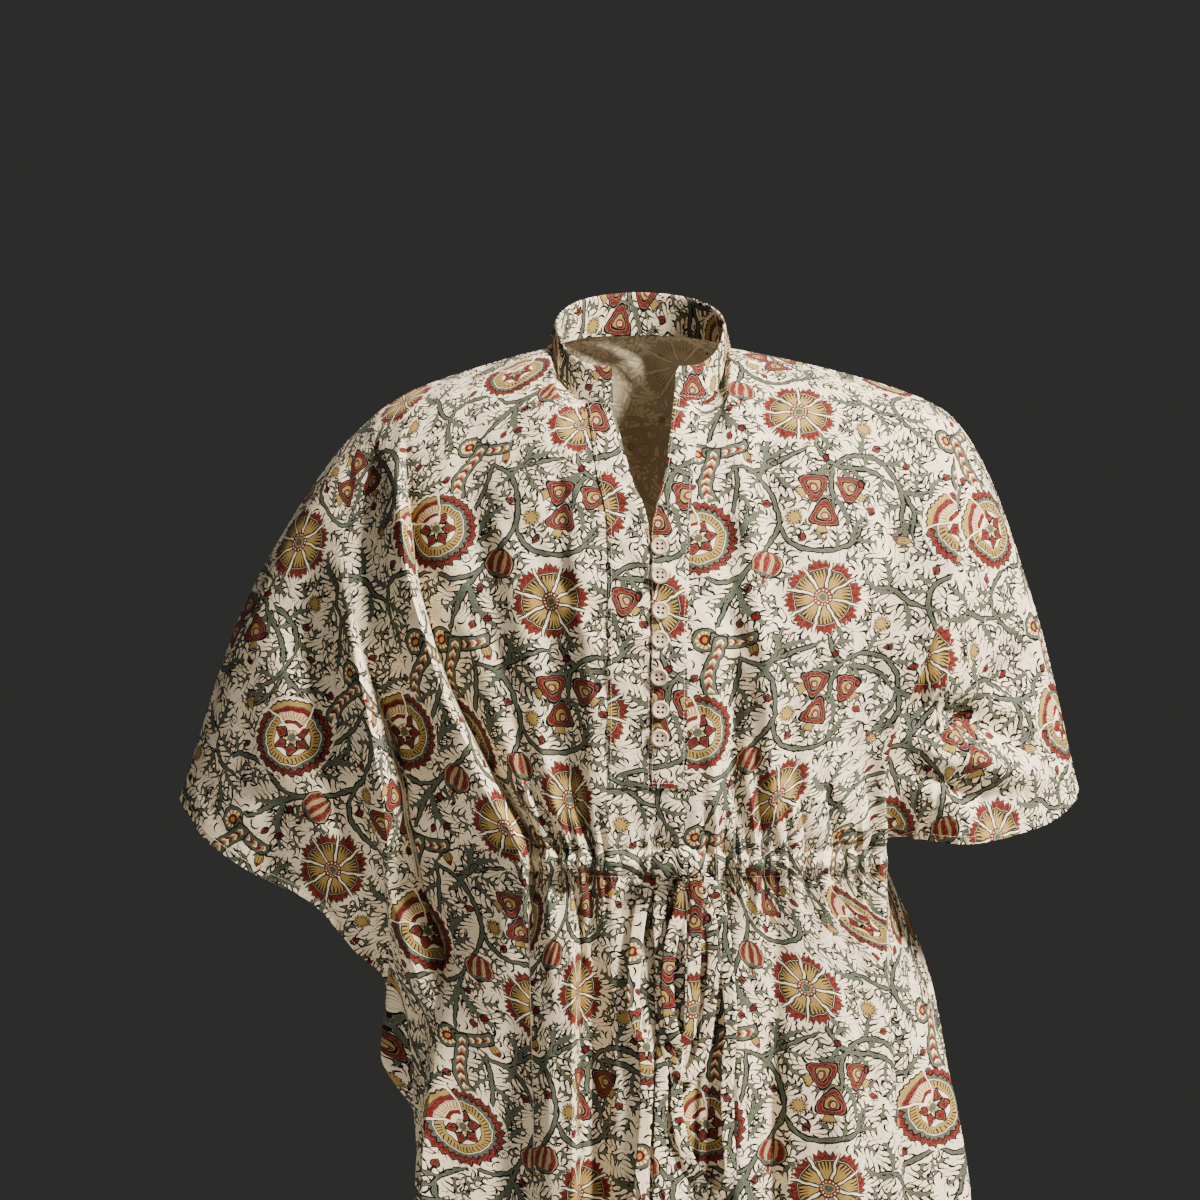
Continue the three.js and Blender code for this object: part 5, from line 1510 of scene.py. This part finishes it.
def make_tie(number, name, node, lift, route):
    x, z = np.array(route, float).T
    out = cloth_out(x, z, TIE_WIDTH / 2) + lift
    path = spline(np.stack([x, -out, z], 1), 3.0)
    # Limp cloth turns a little over its edge as it hangs.
    along = unit(np.gradient(path, axis=0))
    across = unit(np.cross(along, [0.0, -1.0, 0.0]))
    proud = np.cross(across, along)
    step = np.linspace(0, 1, len(path))
    roll = 0.32 * np.sin(2 * np.pi * (step * (1.3 + 0.3 * number) + 0.19 * number)) * np.sin(np.pi * step)
    turned = across * np.cos(roll)[:, None] + proud * np.sin(roll)[:, None]
    proud = proud * np.cos(roll)[:, None] - across * np.sin(roll)[:, None]
    points, faces, flat, length = swept(path, turned, proud, TIE_SECTION)
    piece = new_piece(name, points, faces, [OUTSIDE])
    # The ties are strips cut straight up the print.
    print_on(piece, (flat + [37.0 * number, 61.0 * number])[faces])
    smooth_edges(piece)
    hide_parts(node)
    length * MM
    (path * MM).tolist()
    return length


for number, (name, node, lift, far_end, route) in enumerate(TIES):
    round(make_tie(number, name, node, lift, route))


# ---------- the panels ----------
def make_panel(name, node, cloth, slit, anchor):
    rows, lines = cloth.rows, cloth.lines
    faces = quads(len(rows), len(lines), cells(rows, lines, slit))
    if cloth.panel is BACK:
        faces = faces[:, ::-1]
    cut = laid_flat(cloth.panel, rows, lines, slit, anchor)
    flat = flat_at(cut, rows, lines)
    flat[..., 0] += taken_up(cloth.panel, rows, lines)
    piece = shell(name, cloth.points, cloth.normals, faces, CLOTH, flat, [OUTSIDE, INSIDE])
    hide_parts(node)
    (width, length), area = cut_size(flat, faces)
    return piece, (width, length), area


# Where a fan flower of the print lies on each panel, in X and Z.
FLOWER_FRONT = np.array([-67.5, -186.0])
FLOWER_BACK = np.array([30.0, -160.0])
front, front_size, front_area = make_panel("front_cloth", "front", FRONT_CLOTH, True, FLOWER_FRONT)
back, back_size, back_area = make_panel("back_cloth", "back", BACK_CLOTH, False, FLOWER_BACK)


# ---------- the collar ----------
# Top of the standing band at places round the neck, from the slit's left side round the back to its right.
COLLAR_TOP = [
    (-21, -57, -11), (-40, -50, -9), (-55, -32, 1), (-64, 2, 24), (-54, 27, 36), (-33, 45, 43), (0, 53, 46),
    (34, 45, 43), (56, 27, 36), (66, 2, 24), (60, -32, 1), (46, -50, -9), (28, -57, -11)]
COLLAR_GAP = 0.5


def make_collar():
    edge = lambda panel, low, high: panel.points([float(SHOULDER)], np.linspace(low, high, 60))[0]
    foot = np.concatenate([edge(FRONT, SLIT_L, NECK_L), edge(BACK, NECK_L, NECK_R),
                           edge(FRONT, NECK_R, SLIT_R)])
    keep = np.concatenate([[True], np.linalg.norm(np.diff(foot, axis=0), axis=1) > 0.2])
    foot = spline(foot[keep][::4].tolist() + foot[-1:].tolist(), 3.0)
    foot[:, 2] += COLLAR_GAP
    top = spline(COLLAR_TOP, 1.0)
    run, top_run = run_along(foot), run_along(top)
    share = run / run[-1]
    top = at_run(share, top_run / top_run[-1], top)
    up = top - foot
    across = np.gradient(foot, axis=0)
    across[:, 2] = 0
    out = unit(np.cross(up, across))
    height = np.linalg.norm(up, axis=1)
    # Heights up the outer side, over the rounded top edge and down the inner side, with how far each is in.
    levels = [(h, 0.0) for h in np.linspace(0, 0.93, 9)] + [(0.975, 0.28), (1.0, 1.1), (0.975, 1.9)]
    levels += [(h, COLLAR_CLOTH) for h in np.linspace(0.93, 0, 7)]
    seam = np.sin(share * 91) * 0.12 + np.sin(share * 47 + 1) * 0.16
    grid = []
    for h, depth in levels:
        bulge = 0.35 * math.sin(math.pi * h) if depth in (0.0, COLLAR_CLOTH) else 0.0
        side = 1 if depth < 1 else -1
        dip = 0.3 * math.exp(-((h - 0.86) / 0.03) ** 2) + 0.3 * math.exp(-((h - 0.1) / 0.03) ** 2)
        level = foot + up * h - out * depth
        grid.append(level + out * (side * (bulge - dip) + seam * math.sin(math.pi * h))[:, None])
    grid = np.array(grid)
    count, width = grid.shape[:2]
    faces = quads(count, width)
    # The ends and the foot are closed with strips of quads.
    index = np.arange(count * width).reshape(count, width)
    half = count // 2
    for column, turn in ((0, 1), (-1, -1)):
        a, b = index[:half, column], index[count - half:, column][::-1]
        ends = np.stack([a[:-1], a[1:], b[1:], b[:-1]], 1)
        faces = np.concatenate([faces, ends[:, ::turn]])
    foot_strip = np.stack([index[-1, :-1], index[-1, 1:], index[0, 1:], index[0, :-1]], 1)
    faces = np.concatenate([faces, foot_strip[:, ::-1]])
    rise = np.array([h for h, _ in levels])[:, None] * height[None].mean()
    flat = np.stack(np.broadcast_arrays(share * run[-1], rise), -1).reshape(-1, 2)
    piece = new_piece("collar_cloth", grid.reshape(-1, 3), faces, [OUTSIDE])
    print_on(piece, (flat + [20.0, 55.0])[faces])
    smooth_edges(piece)
    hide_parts("collar")
    return foot, up, out


collar_foot, collar_up, collar_out = make_collar()


# ---------- the bands of the slit ----------
PLACKET_TOP = 0.08


def make_placket(name, node, left, right, height, shift):
    rows = FRONT_ROWS[(FRONT_ROWS > 0.1) & (FRONT_ROWS <= PLACKET_END)]
    rows = np.unique(np.concatenate([[PLACKET_TOP], rows]))
    lines = np.linspace(left, right, 13)
    rounding = np.array([0.55, 0.12] + [0] * 9 + [0.12, 0.55])
    steps = [(r, l) for r in rows for l in lines]
    points, normals = FRONT_CLOTH.place(*zip(*steps))
    shape = (len(rows), len(lines))
    points, normals = points.reshape(*shape, 3), normals.reshape(*shape, 3)
    bottom = np.zeros(len(rows))
    bottom[-1], bottom[-2] = 0.55, 0.12
    drop = np.maximum(rounding[None], bottom[:, None])
    outer = points + normals * (SEAM + height - drop)[..., None]
    faces = quads(*shape)
    thickness = np.broadcast_to((height - drop)[..., None], outer.shape)
    base = np.array([FLOWER_FRONT[0] + shift[0], FLOWER_FRONT[1] + shift[1]])
    flat = points[..., [0, 2]] - base
    piece = shell(name, outer, normals, faces, thickness.reshape(-1, 3), flat, [OUTSIDE, OUTSIDE])
    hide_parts(node)
    return outer, normals


under_band = make_placket("placket_under_cloth", "placket_under", BAND_L, SLIT_L, PLACKET_UNDER, (30.0, 70.0))
over_band = make_placket("placket_over_cloth", "placket_over", SLIT_R, BAND_R, PLACKET_OVER, (76.0, -6.0))


# ---------- the buttons ----------
# A hole's radius, its place from the middle in X and Y, and its floor's height over the button's back.
HOLE_RADIUS, HOLE_PLACE, HOLE_FLOOR = 1.0, 1.8, 0.3
# Radius and height, from the middle of the back round the rim to the middle of the face.
BUTTON_PROFILE = [
    (0.0, 0.0), (5.4, 0.0), (6.2, 0.35), (6.65, 0.9), (6.75, 1.4), (6.6, 2.1), (6.15, 2.65), (5.6, 2.8),
    (5.1, 2.7), (4.7, 2.35), (4.3, 2.1), (3.0, 1.95), (0.0, 1.9)]


def button_mesh():
    """A turned button with a rim and a dished face, before its holes are drilled."""
    sides = 48
    turn = np.arange(sides) * 2 * math.pi / sides
    rings = [[(r * math.cos(t), r * math.sin(t), h) for t in turn] for r, h in BUTTON_PROFILE[1:-1]]
    points = [(0.0, 0.0, 0.0)] + [p for ring in rings for p in ring] + [(0.0, 0.0, BUTTON_PROFILE[-1][1])]
    faces = [(0, 1 + (j + 1) % sides, 1 + j) for j in range(sides)]
    for i in range(len(rings) - 1):
        low, high = 1 + i * sides, 1 + (i + 1) * sides
        faces += [(low + j, low + (j + 1) % sides, high + (j + 1) % sides, high + j) for j in range(sides)]
    last, end = 1 + (len(rings) - 1) * sides, len(points) - 1
    faces += [(last + j, last + (j + 1) % sides, end) for j in range(sides)]
    return points, faces


def drilled(points, faces):
    """The button with four blind holes."""
    mesh = bpy.data.meshes.new("button")
    mesh.from_pydata((np.array(points) * MM).tolist(), [], faces)
    drills = bpy.data.meshes.new("drills")
    made, walls, sides = [], [], 20
    for x, y in [(x, y) for x in (-HOLE_PLACE, HOLE_PLACE) for y in (-HOLE_PLACE, HOLE_PLACE)]:
        base = len(made)
        for h in (HOLE_FLOOR, 4.0):
            made += [(x + HOLE_RADIUS * math.cos(2 * math.pi * j / sides),
                      y + HOLE_RADIUS * math.sin(2 * math.pi * j / sides), h) for j in range(sides)]
        walls += [(base + j, base + (j + 1) % sides, base + sides + (j + 1) % sides, base + sides + j)
                  for j in range(sides)]
        walls += [tuple(base + j for j in reversed(range(sides))),
                  tuple(base + sides + j for j in range(sides))]
    drills.from_pydata((np.array(made) * MM).tolist(), [], walls)
    blank, drill = linked("blank", mesh), linked("drill", drills)
    cut = blank.modifiers.new("holes", "BOOLEAN")
    cut.operation, cut.object, cut.solver = "DIFFERENCE", drill, "EXACT"
    made = bpy.data.meshes.new_from_object(blank.evaluated_get(bpy.context.evaluated_depsgraph_get()))
    for o in (blank, drill):
        bpy.data.objects.remove(o)
    return made


BUTTON_MESH = drilled(*button_mesh())
BUTTON_MESH.materials.clear()
BUTTON_MESH.materials.append(WOOD)
BUTTON_MESH.materials.append(HOLE_PAINTED_SHADE)
# The holes' walls and floors take the painted shade: near-black for the shadow deep in the holes.
for face in BUTTON_MESH.polygons:
    off = math.hypot(abs(face.center[0]) / MM - HOLE_PLACE, abs(face.center[1]) / MM - HOLE_PLACE)
    wall, floor = abs(face.normal[2]) < 0.1, abs(face.center[2] / MM - HOLE_FLOOR) < 0.01
    if off < HOLE_RADIUS + 0.01 and (wall or floor):
        face.material_index = 1
button_rows, button_lines = placed_on(np.full(len(BUTTON_Z), BUTTON_X), BUTTON_Z)
button_points, button_normals = FRONT_CLOTH.place(button_rows, button_lines)
THREADS = []


def thread(path, thick):
    """A round thread along points, kept to be joined with the others."""
    THREADS.append((np.asarray(path, float), thick))


for k, (place, normal) in enumerate(zip(button_points, button_normals)):
    button = linked(f"button_{k + 1}_wood", BUTTON_MESH.copy())
    turn = Vector((0, 0, 1)).rotation_difference(Vector(normal)).to_matrix().to_4x4()
    seat = place + normal * (SEAM + PLACKET_OVER + BUTTON_GAP)
    button.matrix_world = turn
    button.location = Vector(seat) * MM
    button.rotation_mode = "XYZ"
    button.data.polygons.foreach_set("use_smooth", [True] * len(button.data.polygons))
    smooth_edges(button, 40)
    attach(button, BODY)
    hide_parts(f"button_{k + 1}")
    # Two strands between each pair of holes, which dip into them.
    frame_turn = np.array(turn.to_3x3())
    for y in (-HOLE_PLACE, HOLE_PLACE):
        for shift in (-0.22, 0.22):
            over = [(-0.95, y + shift, 0.4), (-0.93, y + shift, 1.8), (-0.7, y + shift, 2.05),
                    (0.7, y + shift, 2.05), (0.93, y + shift, 1.8), (0.95, y + shift, 0.4)]
            thread(seat + np.array(over) @ frame_turn.T, 0.36)


# ---------- the knot ----------
def make_knot():
    """The bow's knot: the tie wrapped round its own loops, as a lump of soft folds."""
    rings, sides = 36, 56
    middle = np.array([KNOT_X, -KNOT_OUT, KNOT_Z])
    a = np.linspace(0.04, math.pi - 0.04, rings)[:, None]
    b = np.linspace(0, 2 * math.pi, sides, endpoint=False)[None]
    x, y, z = np.cos(a) + 0 * b, np.sin(a) * np.sin(b), np.sin(a) * np.cos(b)
    wrap = 0.13 * np.abs(np.sin(4.2 * x + 1.3 * np.sin(b + 0.5) + 2.4 * z)) - 0.1 \
        + 0.06 * np.sin(12 * x - 5.5 * z + 2.0)
    pinch = 1 - 0.18 * np.exp(-((x + 0.12) / 0.2) ** 2)
    grow = (0.93 + wrap) * pinch
    points = np.stack([x * KNOT_WIDTH / 2 * 0.97, y * grow * KNOT_DEPTH / 2, z * grow * KNOT_HEIGHT / 2], -1)
    points = (points + middle).reshape(-1, 3)
    faces = np.concatenate([tube_faces(rings, sides), cap_faces(0, sides)[:, ::-1],
                            cap_faces((rings - 1) * sides, sides)])
    away = points - middle
    flat = np.stack([away[:, 0] * 0.8 + away[:, 2] * 0.6, away[:, 2] * 0.8 - away[:, 0] * 0.6
                     + 9 * np.tanh(away[:, 0] / 3)], -1)
    piece = new_piece("knot_cloth", points, faces, [OUTSIDE])
    print_on(piece, (flat + [78.0, -66.0])[faces])
    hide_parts("tie_knot")


make_knot()


# ---------- the sewing ----------
STITCH, STITCH_GAP, THREAD_THICK = 2.3, 0.6, 0.42
STITCH_START, STITCH_LIFT, STITCH_DIP = 0.4, 0.12, 0.2


def stitches(points, normals):
    """Running stitches along a line on the cloth: each dips into it at both ends."""
    run = run_along(points)
    rise = np.array([-STITCH_DIP, STITCH_LIFT, STITCH_LIFT, -STITCH_DIP])[:, None]
    start = STITCH_START
    while start + STITCH < run[-1]:
        place = np.array([start, start + 0.25 * STITCH, start + 0.75 * STITCH, start + STITCH])
        out = unit(at_run(place, run, normals))
        thread(at_run(place, run, points) + out * rise, THREAD_THICK)
        start += STITCH + STITCH_GAP


def seam_on(cloth, rows, lines, out=0.0):
    points, normals = cloth.place(rows, lines)
    stitches(points + normals * out, normals)


def inset_line(cloth, side, row1, row2, inset):
    """Rows and fall lines at a distance in from a side edge."""
    rows = np.linspace(row1, row2, 160)
    lengths = cloth.panel.along(rows)
    total = lengths[:, -1]
    target = np.full(len(rows), inset) if side == EDGE_L else total - inset
    tenths = np.linspace(EDGE_L, EDGE_R, 10 * EDGE_R + 1)
    lines = np.array([np.interp(t, l, tenths) for t, l in zip(target, lengths)])
    return rows, lines


for cloth in (FRONT_CLOTH, BACK_CLOTH):
    for side in (EDGE_L, EDGE_R):
        seam_on(cloth, *inset_line(cloth, side, 0.03, 5.95, HEM_WIDTH - 1.0), out=0.05)
# The bands' edges, and the squared bottom of the upper one.
for outer, normals in (under_band, over_band):
    for column in (1, -2):
        stitches(outer[:, column], normals[:, column])
outer, normals = over_band
for up in (2, 8):
    stitches(outer[-up], normals[-up])
# The collar's edges.
for h in (0.1, 0.86):
    level = collar_foot + collar_up * h + collar_out * (0.35 * math.sin(math.pi * h) - 0.3)
    stitches(level, collar_out)
# The two lines of the drawstring's tunnel.
tunnel_lines = np.linspace(PLEAT_L - 0.15, FOLD_R - 0.02, 260)
casing_z = HEIGHT[CASING, SLIT_L]
for shift in (-2 * TUCK_HALF, 2 * TUCK_HALF):
    depth = lambda r: -FRONT.points(r, np.array([float(SLIT_L)]))[:, 0, 2]
    row = solve(depth, np.array([-(casing_z + shift)]), 5, 7)
    seam_on(FRONT_CLOTH, np.full(len(tunnel_lines), row[0]), tunnel_lines)


def join_threads(name, threads):
    """All the threads as one mesh of four-sided tubes."""
    points, faces, count = [], [], 0
    turn = np.radians([45, 135, 225, 315])
    for path, thick in threads:
        along = unit(np.gradient(path, axis=0))
        side = unit(np.cross(along, [0.31, 0.87, 0.38]))
        up = np.cross(side, along)
        ring = (np.cos(turn)[:, None] * side[:, None] + np.sin(turn)[:, None] * up[:, None]) * thick / 2
        points.append((path[:, None] + ring).reshape(-1, 3))
        last = (len(path) - 1) * 4
        caps = np.array([[3, 2, 1, 0], [last, last + 1, last + 2, last + 3]])
        faces.append(np.concatenate([tube_faces(len(path), 4), caps]) + count)
        count += len(path) * 4
    return new_piece(name, np.concatenate(points), np.concatenate(faces), [THREAD])


sewing = join_threads("sewing", THREADS)


# ---------- the stage ----------
FLOOR_Z, FLOOR_RADIUS = -1.38, 3.0


def make_floor():
    turn = np.linspace(0, 2 * math.pi, 96, endpoint=False)
    points = [(FLOOR_RADIUS * math.cos(t), FLOOR_RADIUS * math.sin(t), FLOOR_Z) for t in turn]
    mesh = bpy.data.meshes.new("floor")
    mesh.from_pydata(points, [], [tuple(range(len(points)))])
    mesh.materials.append(plain_material("studio floor", (0.62, 0.61, 0.59), 0.8))
    linked("floor", mesh)


def add_light(name, place, aim, size, power, colour):
    data = bpy.data.lights.new(name, "AREA")
    data.shape, data.size, data.energy, data.color = "DISK", size, power, colour
    light = linked(name, data)
    light.location = place
    light.rotation_euler = (Vector(aim) - Vector(place)).to_track_quat("-Z", "Y").to_euler()


make_floor()
add_light("key", (1.9, -1.4, 2.1), (0.0, -0.1, -0.25), 0.5, 560, (1.0, 0.945, 0.87))
add_light("fill", (-1.6, -2.8, 0.8), (0.0, 0.0, -0.4), 1.4, 9, (1.0, 0.98, 0.95))
add_light("back light", (-0.8, 2.4, 1.6), (0.0, 0.0, -0.3), 1.6, 50, (1.0, 0.98, 0.95))
world = bpy.data.worlds.new("studio")
world.use_nodes = True
world.node_tree.nodes["Background"].inputs["Color"].default_value = (0.66, 0.65, 0.63, 1)
world.node_tree.nodes["Background"].inputs["Strength"].default_value = 0.05
bpy.context.scene.world = world
